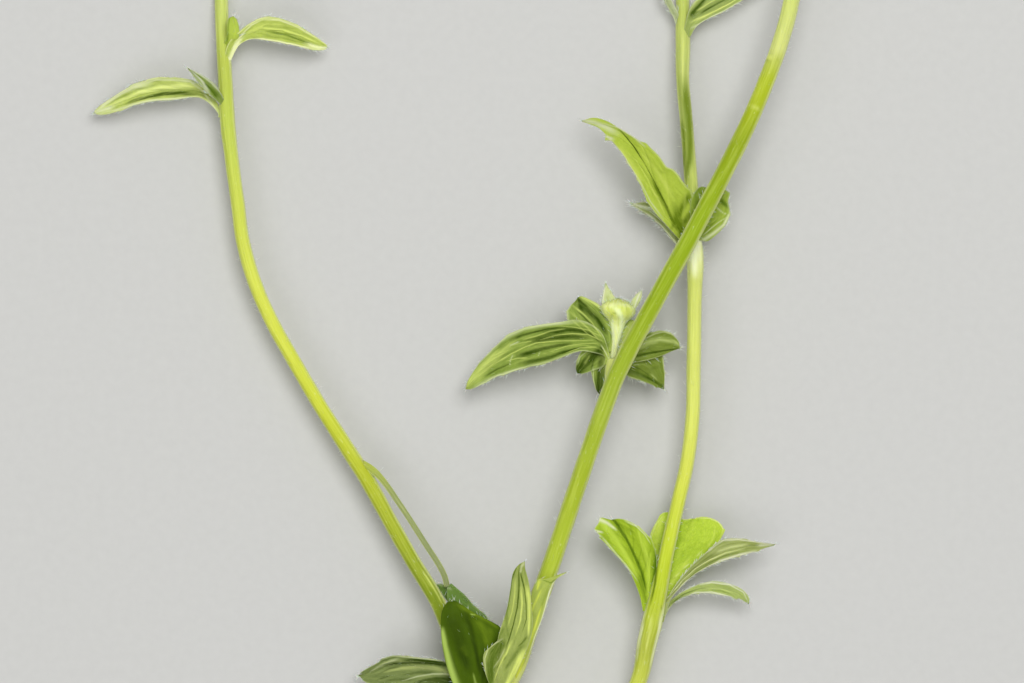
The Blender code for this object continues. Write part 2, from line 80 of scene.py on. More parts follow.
# Leaves
SEAT_SEARCH_STEP = 0.2
SEAT_DEPTH = 0.75
TIP_HALF_WIDTH = 0.06
ROW_STEP = 0.13
COLUMN_STEP = 0.09
LEAST_ROWS = 12
LEAST_HALF = 4
WIDTH_CHECKS = 10
EDGE_OUT = 0.06
RIPPLES = 3
RIPPLE_SHIFT = 2
PLEAT_RUN = 0.3
TOOTH_DROP = 0.3
TOOTH_CURVE = 1.4
LEAF_THICKNESS = 0.26
EDGE_THINNING = 0.6
UNEVEN_SCALE = 1.7
EDGE_CALM = 2.2
LEAF_FLOOR = 0.02
LEAF_TOP = 12.0

# Side veins: where they start and stop between rib and edge, along the leaf, and by its half width
VEIN_BEND = 0.8
VEIN_START = (0.02, 0.12)
VEIN_STOP = (0.75, 0.98)
VEIN_BASE = (0.04, 0.16)
VEIN_WIDTHS = (0.5, 1.2)
PUFF_WIDTHS = (0.8, 2.0)

# Strokes
STROKE_END = 0.45
STROKE_SOFTNESS = 1.4
STROKE_EDGE = 2.3
STROKE_START = (-0.12, 0.2)
STROKE_STOP = (0.82, 1.1)

# Hairs: ranges for reach and radius as shares of the usual one, the usual bend in plan and rise, and
# ranges for the lean out, ahead and up. The bud's reach is in millimetres, and its radius one share.
HairKind = namedtuple("HairKind", "reach radius bend out ahead up", defaults=(None, None, None))
EDGE_HAIR = HairKind(reach=(0.45, 1.15), radius=(0.7, 1.2), bend=(0.12, 0.06),
                     out=(0.35, 1.0), ahead=(0.5, 1.3), up=(-0.25, 0.45))
FACE_HAIR = HairKind(reach=(0.4, 0.9), radius=(0.35, 0.6), bend=(0.1, 0.03),
                     out=(-0.4, 0.5), ahead=(0.7, 1.2), up=(0.15, 0.6))
TIP_HAIR = HairKind(reach=(0.6, 1.1), radius=(0.9, 1.4), bend=(0.12, 0))
STEM_HAIR = HairKind(reach=(0.7, 1.2), radius=(0.6, 1.0), bend=(0.1, 0.06),
                     out=(0.35, 1.0), ahead=(-0.1, 1.0))
BUD_HAIR = HairKind(reach=(0.3, 0.75), radius=0.7, bend=(0.06, 0), out=(0.4, 1.0), ahead=(0.3, 1.2))
SEED = 7
HAIR_SIDES = 3
HAIR_RADIUS = 0.03
HAIR_TAPER = 0.7
HAIR_FLOOR = 0.05
HAIR_TOP = 12.05
EDGE_HAIR_START = 0.25
FACE_HAIR_WHITE = 0.15
TIP_SPREAD = (0.22, 0.15)
TIP_TUFT = 0.8
STEM_HAIRS = 1.1
STEM_HAIR_LENGTH = 0.75
STEM_HAIR_MIX = (0.4, 0.5, 0.6, 0.8, 1.2)
STEM_HAIR_SPAN = (0.03, 0.99)
STEM_HAIR_TURNS = (-0.35 * pi, 1.35 * pi)
STEM_HAIR_ROOT = 0.98
STEM_HAIR_LOWEST = 0.15
COLLAR_STEM = "right"
COLLAR_PLACE = 0.65
COLLAR_SPREAD = 0.01
COLLAR_HAIRS = 70

# Stem hairs that face the camera: how many are left out, how much thinner and greener the others are
FACING_GONE = 0.75
FACING_THIN = 0.5
FACING_GREEN = 0.8

# Bud
BUD_FOOT = (20.3, 6.5, 5.95)
BUD_TOP = (20.95, 14.2, 6.3)
BUD_SIDES = 48
BUD_ROWS = 60
BUD_DRAW = 50
# Share of the way from foot to top, and radius there
BUD_PROFILE = (
    (0.0, 0.42), (0.136, 0.4), (0.27, 0.48), (0.4, 0.64), (0.5, 0.8), (0.58, 0.98), (0.65, 1.32),
    (0.7, 1.74), (0.75, 2.05), (0.81, 2.19), (0.87, 2.1), (0.92, 1.74), (0.955, 1.22), (0.985, 0.55),
    (1.0, 0.05),
)
BUD_LEAST_RADIUS = 0.02
BUD_BEND = 0.27
BUD_RIBS = 5
BUD_RIB_DEPTH = 0.02
BUD_RIB_START = (0.4, 0.8)
BUD_HAIR_SHARE = 0.22
BUD_HAIR_START = 0.2
BUD_FACING_GONE = 0.85
SEPAL_SLOT = 1

# Colours as screen values
BUD_LOW = (240, 253, 168)
BUD_HIGH = (210, 221, 108)
BUD_DARK = (176, 190, 70)
BUD_LIGHT = (240, 248, 180)
# BUD_PALE serves pale marks, the painted highlight on the funnel and the painted rim light on the bud's
# flanks
BUD_PALE = (236, 254, 186)
# STEM_DARK serves darker streaks and painted shade
STEM_DARK = (110, 130, 26)
STEM_LIGHT = (222, 230, 130)
# Painted rim light on the stems' flanks
STEM_RIM_LIGHT = (218, 226, 150)
STEM_PALE = (242, 247, 200)
PITH = (214, 222, 170)
PITH_EDGE = (170, 190, 96)
HAIR_ROOT = (205, 215, 160)
HAIR_TIP = (240, 242, 235)
FLOOR_COLOUR = (198, 198, 195)
BRIGHTEST = 0.95

# Skins: what stays the same all over each, and the height of its bumps in metres
LEAF_SKIN = {"Specular IOR Level": 0.06, "Subsurface Radius": (0.9, 1.0, 0.35),
             "Subsurface Scale": 0.0006, "Sheen Roughness": 0.4}
STEM_SKIN = {"Specular IOR Level": 0.1, "Subsurface Weight": 0.25,
             "Subsurface Radius": (0.9, 1.0, 0.3), "Subsurface Scale": 0.0008,
             "Sheen Weight": 0.05, "Sheen Roughness": 0.35}
BUD_SKIN = {"Specular IOR Level": 0.1, "Subsurface Weight": 0.3,
            "Subsurface Radius": (0.9, 1.0, 0.4), "Subsurface Scale": 0.0008,
            "Sheen Weight": 0.1, "Sheen Roughness": 0.4}
HAIR_SKIN = {"Specular IOR Level": 0.6, "Subsurface Weight": 0.2, "Subsurface Scale": 0.0002}
FLOOR_SKIN = {"Specular IOR Level": 0.2}
LEAF_BUMP = 0.00004
STEM_BUMP = 0.00005
BUD_BUMP = 0.00006
FLOOR_BUMP = 0.00002

# Sockets of the Mix node when it mixes colours
MIX_SHARE, MIX_FIRST, MIX_SECOND, MIX_COLOUR = 0, 6, 7, 2

# Patterns on skins: rates across and along (run), and where each starts and is full (range)
STREAK_RANGE = (0.36, 0.64)
STREAK_DETAIL = 3.0
FAN_SHARE = 0.7
FAN_ALONG = 0.3
FINE_RUN = (6.5, 0.9)
CELL_ALONG = 0.8
CELL_WALL = (0.0, 0.22)
CLOUD_RUN = (0.8, 0.5)
CLOUD_LAYER = 3.0
CLOUD_RANGE = (0.35, 0.65)
STEM_STREAK_RUN = (5.0, 0.2)
FLECK_RUN = (3.0, 0.9)
FLECK_SCALE = 1.2
FLECK_RANGE = (0.66, 0.78)
# Painted rim light on the stems' flanks: where it starts and is full across them, and how much more the
# right flank gets
RIM_LIGHT_RANGE = (0.66, 0.98)
RIM_LIGHT_LEAN = 0.06
PITH_RINGS = 22
PITH_EDGE_RANGE = (0.55, 0.9)
SKIN_START = (0.982, 0.992)
BUD_STREAK_RUN = (6.0, 5.0)
# Painted rim light on the bud's flanks: where it starts and is full
BUD_RIM_LIGHT_RANGE = (0.6, 1.0)
BUD_HIGH_RANGE = (0.5, 0.8)
HAIR_WHITE_RANGE = (0.0, 0.5)
FLOOR_GRAIN = 0.93
FLOOR_GRAIN_SCALE = 900.0
FLOOR_GRAIN_DETAIL = 4.0

# Stage: in metres, apart from the floor's gap, the sensor and the view
FLOOR_SIDE = 1.2
FLOOR_GAP = 0.02
CAMERA_HEIGHT = 1.5
CAMERA_REACH = 10
SENSOR_WIDTH = 36.0
VIEW_CENTRE = (7.75, 8.81)
VIEW_WIDTH = 128.0
VIEW_LEVEL = 6.0
ROOM_LIGHT = 0.39
# Lights: name, place, width, and power in watts
LIGHTS = (
    ("key", (0.15, 0.3, 0.87), 0.6, 6.1),
    ("fill", (-0.35, -0.4, 0.75), 0.8, 2.2),
)

# Points of each stem from its foot to its top: x, y, z and radius
STEMS = {
    "main": (
        (14.5, -57.75, 1.36, 1.5), (13.75, -52.88, 1.36, 1.5), (11.88, -47.88, 2, 1.5),
        (8.12, -42.25, 3.2, 1.45), (5.5, -37.5, 4.4, 1.5), (8.38, -31.25, 5.2, 1.3),
        (10.04, -26.25, 5.8, 1.25), (12.76, -18.75, 6.8, 1.13), (16.08, -8.75, 7.9, 1.11),
        (19.51, 1.25, 8.8, 1.11), (21.6, 6.25, 9.1, 1.14), (25.58, 13.75, 9.4, 1.12),
        (31.01, 23.75, 9.6, 1.12), (36.14, 33.75, 9.4, 1.09), (39.45, 41.25, 8.9, 1.04),
        (42.01, 48.75, 8.2, 1.02), (43.7, 57, 7.4, 0.99),
    ),
    "left": (
        (5.5, -37.5, 4.4, 1.19), (2.75, -33, 4.4, 1.04), (0.62, -29.12, 4.3, 0.99),
        (-1.61, -23.75, 4.1, 0.96), (-4.61, -18.75, 3.9, 0.94), (-7.48, -13.75, 3.7, 0.94),
        (-10.23, -8.75, 3.6, 0.97), (-13.41, -3.75, 3.5, 0.93), (-16.56, 1.25, 3.4, 0.88),
        (-19.48, 6.25, 3.4, 0.88), (-22.29, 11.25, 3.4, 0.88), (-24.48, 16.25, 3.4, 0.87),
        (-25.91, 21.25, 3.4, 0.87), (-26.6, 26.25, 3.4, 0.87), (-27.29, 31.25, 3.4, 0.87),
        (-27.85, 36.25, 3.3, 0.95), (-28.23, 42.75, 2.9, 0.9), (-28.6, 48.75, 1.6, 0.85),
        (-28.73, 52.75, 0.78, 0.86), (-28.79, 57.5, 0.78, 0.86),
    ),
    "right": (
        (12.25, -48.5, 2, 1.2), (16.25, -44.75, 2.6, 1.12), (20.25, -40.38, 3.4, 1.1),
        (23.55, -33.75, 4.2, 1.05), (24.66, -28.75, 4.8, 1.24), (25.42, -25.75, 5, 1.3),
        (26.29, -21.62, 5.1, 1.03), (27.38, -16.25, 5.1, 0.92), (28.55, -11.25, 5, 0.89),
        (29.67, -6.25, 5, 0.89), (30.36, -0.38, 4.9, 0.89), (30.49, 6.25, 4.9, 0.9),
        (30.61, 13.75, 4.9, 0.9), (30.67, 18.75, 4.9, 1.05), (30.45, 22.12, 4.8, 1.03),
        (30.15, 28.75, 4.4, 0.84), (29.59, 36.25, 3.8, 0.82), (29.15, 41.25, 3.2, 0.82),
        (29.15, 46.25, 2.4, 0.92), (29.15, 51.25, 1.3, 0.85), (29.15, 54, 0.76, 0.85),
        (29.15, 57.75, 0.76, 0.84),
    ),
    "stalk": (
        (-11.5, -6.25, 3.6, 0.45), (-9.75, -7.25, 4, 0.45), (-8.25, -8.75, 4.3, 0.38),
        (-6.5, -11.25, 4.6, 0.36), (-5, -13.5, 4.8, 0.36), (-3.25, -16.25, 4.8, 0.36),
        (-1.62, -18.75, 4.6, 0.36), (-0.75, -20.38, 4.3, 0.36), (-0.38, -21.75, 3.9, 0.36),
    ),
    "pedicel": (
        (19.5, 1.62, 8.8, 0.55), (19.88, 3.25, 7.6, 0.6), (20.12, 5, 6.5, 0.75), (20.31, 6.38, 6, 0.8),
    ),
}

# The blades of each leaf node: the stem that each grew on, its place there, and x, y, z of its rib.
# Edge points have x, y and a lift over the rib. Teeth have a side, place, height and width. Hairs are
# the shares of the left and right edge.
Blade = namedtuple("Blade", "stem seat rib left right teeth hairs", defaults=((), (1, 1)))
LEAVES = {
    "lower_bract": [Blade("left", (-28, 37),
        rib=((-29.5, 39, 3.2), (-31.25, 40.12, 3.1), (-33.75, 40.38, 3), (-36.88, 40.12, 3.1),
            (-40.25, 39.25, 2.9), (-42.88, 38.19, 2.5), (-44.56, 37.5, 2.2)),
        left=((-29.12, 37.5, 0.1), (-30.25, 38.75, 0.2), (-31.75, 39.44, 0.5), (-34.75, 39.12, 0.8),
            (-37.12, 38.98, 0.9), (-39.38, 38.5, 0.9), (-41.12, 37.88, 0.6), (-42.88, 37.35, 0.3),
            (-44.12, 37.27, 0.1)),
        right=((-29.5, 38.88, 0.1), (-30.38, 40, 0.3), (-31.38, 41, 0.6), (-32.75, 41.56, 0.9),
            (-34.75, 41.75, 1), (-36.75, 41.79, 1.1), (-39, 41.12, 1), (-40.88, 40.19, 0.9),
            (-42.62, 39.12, 0.5), (-43.88, 38.31, 0.2), (-44.5, 37.75, 0.1)),
        teeth=(("R", 0.42, 0.08, 0.08), ("R", 0.7, 0.12, 0.08), ("L", 0.8, 0.1, 0.07)))],
    "lower_stipule": [Blade("left", (-28.12, 38.62),
        rib=((-29.62, 40.25, 5), (-30.88, 41.5, 5.4), (-32.75, 42.94, 5.4)),
        left=((-30.25, 39.88, 0.2), (-31.25, 41, 0.3), (-32.12, 42.12, 0.1)),
        right=((-28.62, 39.75, 0.2), (-29.5, 41, 0.4), (-30.88, 42, 0.3), (-32, 42.62, 0.1)),
        hairs=(1, 0.4))],
    "upper_bract": [Blade("left", (-28.25, 44),
        rib=((-27.5, 45.25, 3.4), (-26.75, 46.31, 3.7), (-25.38, 47.19, 3.9), (-23.5, 47.62, 4),
            (-20.62, 47.38, 3.9), (-18.25, 46.56, 3.4), (-16.62, 45.88, 2.9), (-15.44, 45.62, 2.6)),
        left=((-27.94, 45.62, 0.1), (-27.31, 46.69, 0.2), (-26.19, 47.69, 0.5), (-25, 48.56, 0.8),
            (-23.5, 49.25, 1), (-21.5, 49.21, 1.1), (-19.12, 48.31, 0.9), (-17.25, 47.19, 0.6),
            (-16.06, 46.38, 0.2), (-15.5, 45.94, 0.1)),
        right=((-26.88, 45.25, 0.1), (-26.19, 46.12, 0.2), (-24.75, 46.71, 0.4), (-22.75, 46.52, 0.7),
            (-20.62, 46.19, 0.8), (-18.5, 45.69, 0.7), (-17, 45.34, 0.3), (-15.75, 45.38, 0.1)),
        teeth=(("L", 0.5, 0.08, 0.08), ("L", 0.72, 0.1, 0.07), ("R", 0.62, 0.1, 0.07)))],
    "left_leaflet": [Blade("right", (25.12, -25),
        rib=((24.38, -23.12, 5), (23.88, -20.75, 5.2), (23, -18.25, 5.35), (22, -16.12, 5.4),
            (20.25, -13.5, 5.2)),
        left=((23.75, -23, 0.2), (23, -21, 0.4), (22.31, -19.62, 0.6), (21.38, -18.5, 0.75),
            (19.75, -16.75, 0.9), (18.5, -15.12, 0.8), (18.12, -14.62, 0.6), (18.62, -13.88, 0.45),
            (18.88, -13.25, 0.2)),
        right=((25.25, -22.5, 0.1), (25.75, -20.25, 0.2), (25.81, -18.25, 0.4), (25.31, -16.38, 1),
            (24.38, -15.12, 1.15), (23.12, -14.12, 1), (22, -13.56, 0.8), (21, -13.38, 0.4)),
        teeth=(("L", 0.7, 0.35, 0.05), ("R", 0.62, 0.12, 0.07), ("R", 0.76, 0.12, 0.06),
            ("L", 0.45, 0.1, 0.06)), hairs=(1, 0.4))],
    "broad_leaflet": [Blade("right", (25.75, -23.75),
        rib=((26.62, -21.62, 3.2), (27.75, -18.75, 3.1), (29.12, -16, 3), (30.38, -13.38, 2.8)),
        left=((25.88, -21.75, 0.1), (25.31, -19.5, 0.2), (25, -17.25, 0.3), (25.12, -15.38, 0.45),
            (25.75, -14, 0.5), (26.5, -12.88, 0.5), (27, -12.62, 0.45), (27.75, -12.75, 0.4),
            (29.12, -13.5, 0.3)),
        right=((28, -22.38, 0.1), (30, -20.25, 0.3), (32, -18.38, 0.45), (33.38, -16.75, 0.55),
            (34, -15.5, 0.6), (34.12, -14.5, 0.55), (33.5, -13.75, 0.5), (32.5, -13.29, 0.4),
            (31.38, -13.19, 0.3)),
        teeth=(("R", 0.62, 0.25, 0.06), ("R", 0.72, 0.25, 0.06), ("L", 0.72, 0.12, 0.06)),
        hairs=(0.2, 0.4))],
    "upper_stipule": [Blade("left", (-28.25, 45.75),
        rib=((-27.5, 47, 3.9), (-27.19, 48.25, 4.1), (-27.12, 49.5, 4.2)),
        left=((-28, 46.88, 0.1), (-27.9, 48.12, 0.1), (-27.69, 49.19, 0.05)),
        right=((-26.62, 46.75, 0.1), (-26.44, 47.88, 0.1), (-26.69, 49, 0.05)), hairs=(0, 1))],
    "stalk_leaf": [Blade("stalk", (-0.38, -21.75),
        rib=((0.75, -22.62, 3.8), (1.62, -23.5, 3.7), (2.88, -24.62, 3.6), (4.75, -25.94, 3.5)),
        left=((1, -22.22, 0), (1.88, -23, 0), (2.81, -24.12, 0), (4, -25.1, 0)),
        right=((-0.25, -23.5, 0), (0.75, -24.88, 0), (2.25, -25.88, 0), (3.75, -26.38, 0))),
    Blade(None, (1, -23.25, 3.7),
        rib=((0, -22.88, 3.2), (-0.75, -22.19, 3.1), (-1.62, -21.62, 3.1)),
        left=((-0.12, -23.75, 0), (-0.94, -22.81, 0)), right=((0.12, -22.06, 0), (-0.81, -21.66, 0)),
        hairs=(0.5, 0.5))],
    "dark_leaf": [Blade("left", (4, -35),
        rib=((4.12, -34.25, 6.5), (3.62, -32, 6.9), (2.88, -29.12, 7.1), (1.75, -26.25, 7.25),
            (0.5, -23.56, 7.3)),
        left=((1.5, -35.25, -0.2), (0.5, -34, -0.25), (-0.31, -31.88, -0.2), (-0.8, -29.75, 0.05),
            (-1.02, -28, 0.3), (-1.06, -26.5, 0.5), (-0.96, -25, 0.5), (-0.38, -23.88, 0.25)),
        right=((4.88, -34.25, 0), (5.5, -32.5, 0), (6.12, -30.5, 0.2), (6.62, -28.5, 0.55),
            (6.31, -27, 0.85), (4.75, -26, 0.75), (3, -25.12, 0.55), (1.5, -24.12, 0.25)),
        hairs=(0.3, 0.6))],
    "striped_bract": [Blade("main", (5.75, -36.88),
        rib=((6.25, -34.75, 7.6), (7, -32, 8.6), (7.88, -28.5, 9.2), (8.5, -24.12, 9.8), (8.69, -21, 10.5),
            (8.88, -19.62, 11), (9.31, -18.62, 11.6)),
        left=((5.25, -34.5, 0), (5.5, -31.62, -0.1), (6, -28.5, -0.2), (6.38, -27, -0.25),
            (6.94, -25.38, -0.3), (7.31, -23.88, -0.3), (7.62, -22, -0.3), (7.91, -20.12, -0.25),
            (8.5, -19.12, -0.1)),
        right=((7.25, -34.75, 0), (8.5, -32, -0.2), (9.88, -28.75, -0.35), (10.31, -26.25, -0.4),
            (10.12, -24.25, -0.4), (10, -22.5, -0.4), (9.69, -20.75, -0.3), (9.38, -19.5, -0.1)),
        hairs=(0.4, 0.2)),
    Blade(None, (6.75, -35.12, 7.6),
        rib=((5.75, -33.5, 8), (5.5, -31.25, 8.6), (6.62, -28, 8.8)),
        left=((4.88, -33.75, 0.1), (4.25, -31.5, 0.2), (4.31, -30.12, 0.25), (5.12, -29.31, 0.2),
            (5.88, -28.62, 0.1)), right=((6.62, -34, 0), (6.62, -31.5, 0.05), (7, -29.5, 0.1)),
        hairs=(0.6, 0.1))],
    "sheath": [Blade("main", (7.75, -33.12),
        rib=((8.75, -30.38, 7.5), (9.88, -27, 8.1), (11, -23.75, 8.6), (12.12, -21.5, 8.75),
            (14.5, -20, 8.7)),
        left=((6.88, -31.25, -0.2), (8, -28.5, -0.2), (9.12, -25.5, -0.25), (10.12, -23.12, -0.25),
            (11, -21, -0.2), (12.12, -20.81, -0.05)),
        right=((9.62, -30.62, -0.35), (10.75, -27.75, -0.35), (11.75, -24.88, -0.35), (12.5, -22.5, -0.25),
            (13.25, -20.88, -0.05)))],
    "left_bract": [Blade("left", (4, -34.62),
        rib=((1.5, -33.75, 4.4), (-1, -32.5, 4.5), (-3.75, -31.88, 4.6), (-6.5, -31.69, 4.4),
            (-9, -32.12, 4), (-11.38, -33, 3.6)),
        left=((2, -35, 0.2), (0, -35.12, 0.4), (-2.5, -35.12, 0.6), (-5.25, -34.75, 0.7),
            (-8.12, -34.38, 0.6), (-10.38, -33.88, 0.3)),
        right=((1.75, -33, 0.1), (0.25, -31.88, 0.2), (-0.88, -31.25, 0.5), (-2.25, -30.97, 0.7),
            (-4.38, -30.75, 0.8), (-6.5, -30.53, 0.9), (-7.88, -30.75, 0.8), (-9.38, -31.62, 0.5),
            (-10.88, -32.44, 0.2)),
        teeth=(("R", 0.6, 0.1, 0.06), ("R", 0.8, 0.12, 0.05), ("L", 0.8, 0.3, 0.07),
            ("L", 0.62, 0.25, 0.07)))],
    "middle_leaf": [Blade("pedicel", (20.25, 5.88),
        rib=((19, 8.25, 6.3), (17.5, 8.88, 6.4), (15.5, 8.94, 6.4), (13.12, 8.81, 6.2), (10.75, 8.56, 5.9),
            (9, 7.94, 5.6), (7, 6.94, 5.2), (5, 5.62, 4.7), (3.5, 4.5, 4.3), (2, 2.88, 4)),
        left=((19.25, 7, 0), (17.75, 7.5, 0.1), (16.12, 7.62, 0.2), (14, 6.88, 0.3), (11.62, 6.02, 0.4),
            (9.5, 5.62, 0.4), (7.62, 5.02, 0.4), (5.62, 4.38, 0.4), (3.88, 3.44, 0.2), (2.62, 2.88, 0.1)),
        right=((19.12, 9.5, 0.1), (17.5, 11, 0.2), (15.75, 11.5, 0.3), (13.88, 11.21, 0.4),
            (11.62, 10.91, 0.5), (9.25, 10.44, 0.5), (7.25, 9.56, 0.5), (5.75, 8.19, 0.45),
            (4.25, 6.69, 0.35), (3, 5.12, 0.2), (2.25, 3.88, 0.1)),
        teeth=(("R", 0.56, 0.06, 0.05), ("R", 0.66, 0.08, 0.05), ("R", 0.76, 0.08, 0.05),
            ("R", 0.86, 0.06, 0.04), ("L", 0.6, 0.08, 0.06), ("L", 0.74, 0.12, 0.06),
            ("L", 0.86, 0.08, 0.05))),
    Blade(None, (19.62, 7.5, 6.1),
        rib=((19.5, 9, 6.1), (18.75, 10.88, 5.95), (17.5, 12.62, 5.6), (16, 14.31, 5.1)),
        left=((17.5, 8.5, 0), (16, 9.75, 0.1), (14.88, 11.12, 0.15), (14.69, 12.38, 0.15),
            (15.06, 13.25, 0.1), (15.62, 13.81, 0.05)),
        right=((20.31, 8.25, -0.1), (20.44, 9.88, 0.1), (20.12, 11.5, 0.25), (19.44, 12.62, 0.35),
            (18.5, 13.44, 0.3), (17.5, 14, 0.2), (16.5, 14.44, 0.05)),
        teeth=(("L", 0.6, 0.12, 0.06), ("L", 0.78, 0.15, 0.05)), hairs=(0.8, 0.1)),
    Blade(None, (19.75, 8.62, 6),
        rib=((18.88, 8, 5.8), (17.5, 6.88, 5.4), (15.94, 4.88, 4.6)),
        left=((20.25, 7, 0), (19.25, 5.75, 0.1), (17.75, 5.19, 0.2), (16.62, 4.81, 0.05)),
        right=((18.25, 9, 0), (16.62, 7.75, 0.1), (15.94, 6.5, 0.2), (15.75, 5.5, 0.1)), hairs=(0.4, 0.3)),
    Blade(None, (19.25, 8.5, 5.7),
        rib=((19, 7.38, 5.5), (18.81, 5.75, 5.2), (18.69, 4, 4.6), (18.69, 2.25, 3.8)),
        left=((20.12, 7.5, 0), (19.88, 5.75, 0.1), (19.75, 3.75, 0.1)),
        right=((17.75, 7.5, 0), (17.56, 6, 0.1), (17.81, 4.5, 0.1), (18.19, 3, 0.05)), hairs=(0.3, 0.1)),
    # This last blade is a sheet laid behind the funnel to fill the shaded green between the funnel and the
    # main stem.
    Blade(None, (20.38, 7.25, 5.6),
        rib=((21.25, 8.75, 5.7), (22.12, 10.12, 5.7), (22.88, 11.5, 5.6)),
        left=((20, 8.38, 0), (20.5, 10, 0), (21.75, 11.5, 0)),
        right=((21.5, 7.5, 0), (22.75, 9, 0), (23.5, 10.5, 0)), hairs=(0, 0))],
    "right_leaf": [Blade("pedicel", (20.5, 5.75),
        rib=((22.88, 7.25, 6), (24.75, 7.88, 6.1), (26.75, 8, 5.7), (28.75, 8, 5)),
        left=((22.5, 8.25, 0), (24, 9.38, 0.2), (25.25, 9.88, 0.35), (26.38, 10.12, 0.35),
            (27.62, 9.75, 0.2), (28.5, 8.88, 0.1)),
        right=((22.75, 6.12, 0), (24.5, 6.5, 0), (26.25, 7, 0), (27.75, 7.62, 0)),
        teeth=(("L", 0.55, 0.1, 0.08), ("L", 0.8, 0.1, 0.06)), hairs=(1, 0.15)),
    Blade(None, (21.88, 6.5, 6),
        rib=((22.75, 6.12, 5.8), (24, 5.62, 5.5), (25.38, 4.5, 4.9), (26.75, 2.88, 4.3)),
        left=((23.75, 7.75, -0.3), (25.5, 7.75, -0.3), (26.5, 7.12, 0), (26.75, 5.38, 0.15),
            (26.81, 3.88, 0.05)),
        right=((21.75, 5.25, 0), (22.38, 4.44, 0.05), (23.75, 4.02, 0.1), (25.12, 3.5, 0.1),
            (26.12, 3.06, 0.05)), teeth=(("R", 0.86, 0.3, 0.08), ("L", 0.8, 0.12, 0.08)), hairs=(0.5, 0.8))],
    "large_leaf": [Blade("right", (30.25, 21.12),
        rib=((28.12, 23.75, 6.1), (27.12, 25.75, 6.5), (25.75, 28.38, 6.8), (24.25, 31.12, 6.8),
            (22.75, 33.38, 6.65), (21, 35.19, 6.4), (18.75, 36, 6.1), (16.5, 36.38, 5.6)),
        left=((26.88, 23.62, 0.3), (25.62, 25, 0.6), (24.47, 26.88, 0.9), (23.75, 28.62, 1),
            (22.75, 30.38, 1), (21.75, 32, 0.9), (20.5, 33.62, 0.7), (19.62, 34.56, 0.35),
            (18.5, 35.56, 0.12)),
        right=((30.88, 23.25, 0.3), (30.75, 25.62, 0.6), (29.81, 27.62, 1), (28.38, 29.5, 1.2),
            (27.12, 30.44, 1.2), (25.94, 32.06, 1.1), (24.62, 33.06, 1), (23.12, 34.19, 0.8),
            (21.31, 35.31, 0.5), (19.62, 36.31, 0.3), (18, 36.75, 0.1)),
        teeth=(("L", 0.82, 0.6, 0.05), ("L", 0.62, 0.14, 0.06), ("L", 0.5, 0.14, 0.06),
            ("L", 0.36, 0.14, 0.07), ("R", 0.63, 0.32, 0.09), ("R", 0.43, 0.35, 0.09),
            ("R", 0.28, 0.3, 0.08), ("R", 0.78, 0.15, 0.06)), hairs=(1, 0.5))],
    "thin_lobe": [Blade("right", (30.38, 19.75),
        rib=((28.88, 21.75, 4.6), (27.25, 23.75, 4.4), (25.25, 25.25, 4.1), (22.75, 26, 3.9)),
        left=((27.88, 21.5, 0.2), (26, 23.75, 0.25), (24.12, 25.06, 0.15)),
        right=((29.25, 23.75, 0.1), (27.25, 25.62, 0.2), (24.88, 26.25, 0.1)),
        teeth=(("L", 0.6, 0.12, 0.1),))],
    "folded_stipule": [Blade("right", (30.38, 21.5),
        rib=((31.25, 23, 6.5), (32, 25, 6.9), (32.38, 28, 7.1)),
        left=((30.25, 22.75, 0), (30.06, 24.75, 0.2), (30.19, 26.62, 0.3), (31.12, 28, 0.2)),
        right=((32.38, 21.5, 0), (34.25, 23.25, 0.25), (34.88, 24.88, 0.35), (34.69, 26.25, 0.3),
            (34.75, 27.38, 0.25), (33.5, 28.12, 0.1)),
        teeth=(("R", 0.5, 0.15, 0.08), ("R", 0.75, 0.15, 0.06)), hairs=(0.1, 1))],
    "grey_leaflet": [Blade("right", (25.12, -26),
        rib=((26.75, -24, 5.3), (28.25, -22, 5.5), (30, -20.12, 5.35), (32, -18.69, 5.15),
            (34.25, -17.5, 4.9), (37.25, -16.81, 4.4), (40.62, -16.62, 3.8)),
        left=((27.25, -23.25, 0.1), (28.5, -21.25, 0.2), (30.12, -19.38, 0.3), (31.88, -17.75, 0.45),
            (33.38, -16.44, 0.5), (34.5, -15.94, 0.5), (36, -15.88, 0.4), (37.5, -16.1, 0.3),
            (39, -16.38, 0.1)),
        right=((27.5, -23.62, 0), (28.75, -22, 0.1), (30.38, -20.44, 0.2), (32.25, -19.31, 0.25),
            (34, -18.62, 0.25), (35.75, -18.06, 0.2), (37.5, -17.62, 0.1), (39.12, -17.12, 0.05)),
        teeth=(("L", 0.62, 0.1, 0.05), ("L", 0.82, 0.15, 0.05), ("R", 0.6, 0.1, 0.05),
            ("R", 0.74, 0.18, 0.05), ("R", 0.88, 0.2, 0.05)))],
    "thin_leaflet": [Blade("right", (25, -26.75),
        rib=((26.75, -25, 3.8), (28.38, -23.5, 3.6), (30.5, -22.38, 3.7), (32.75, -22, 3.75),
            (35, -22.31, 3.6), (36.5, -23, 3.2), (37.38, -24, 2.9)),
        left=((27, -24.25, 0.1), (28.75, -22.75, 0.1), (30.5, -21.88, 0.2), (32.12, -21.35, 0.3),
            (33.38, -21.25, 0.3), (35.12, -21.62, 0.3), (36.62, -22.31, 0.2), (37.38, -23.25, 0.1)),
        right=((27.62, -24.38, 0), (28.88, -23.31, 0), (30.88, -22.69, 0.1), (32.62, -22.69, 0.15),
            (34.25, -22.94, 0.2), (35.62, -23.19, 0.15), (36.38, -23.44, 0.1)),
        teeth=(("R", 0.52, 0.3, 0.05), ("R", 0.88, 0.5, 0.07), ("L", 0.5, 0.12, 0.05)))],
    "top_leaf": [Blade("right", (29.12, 47),
        rib=((29.88, 48.38, 2.9), (31, 49.44, 3), (32.62, 50.5, 3.15), (34.75, 51.5, 3.2), (36.75, 52.5, 3),
            (39.38, 53, 2.4)),
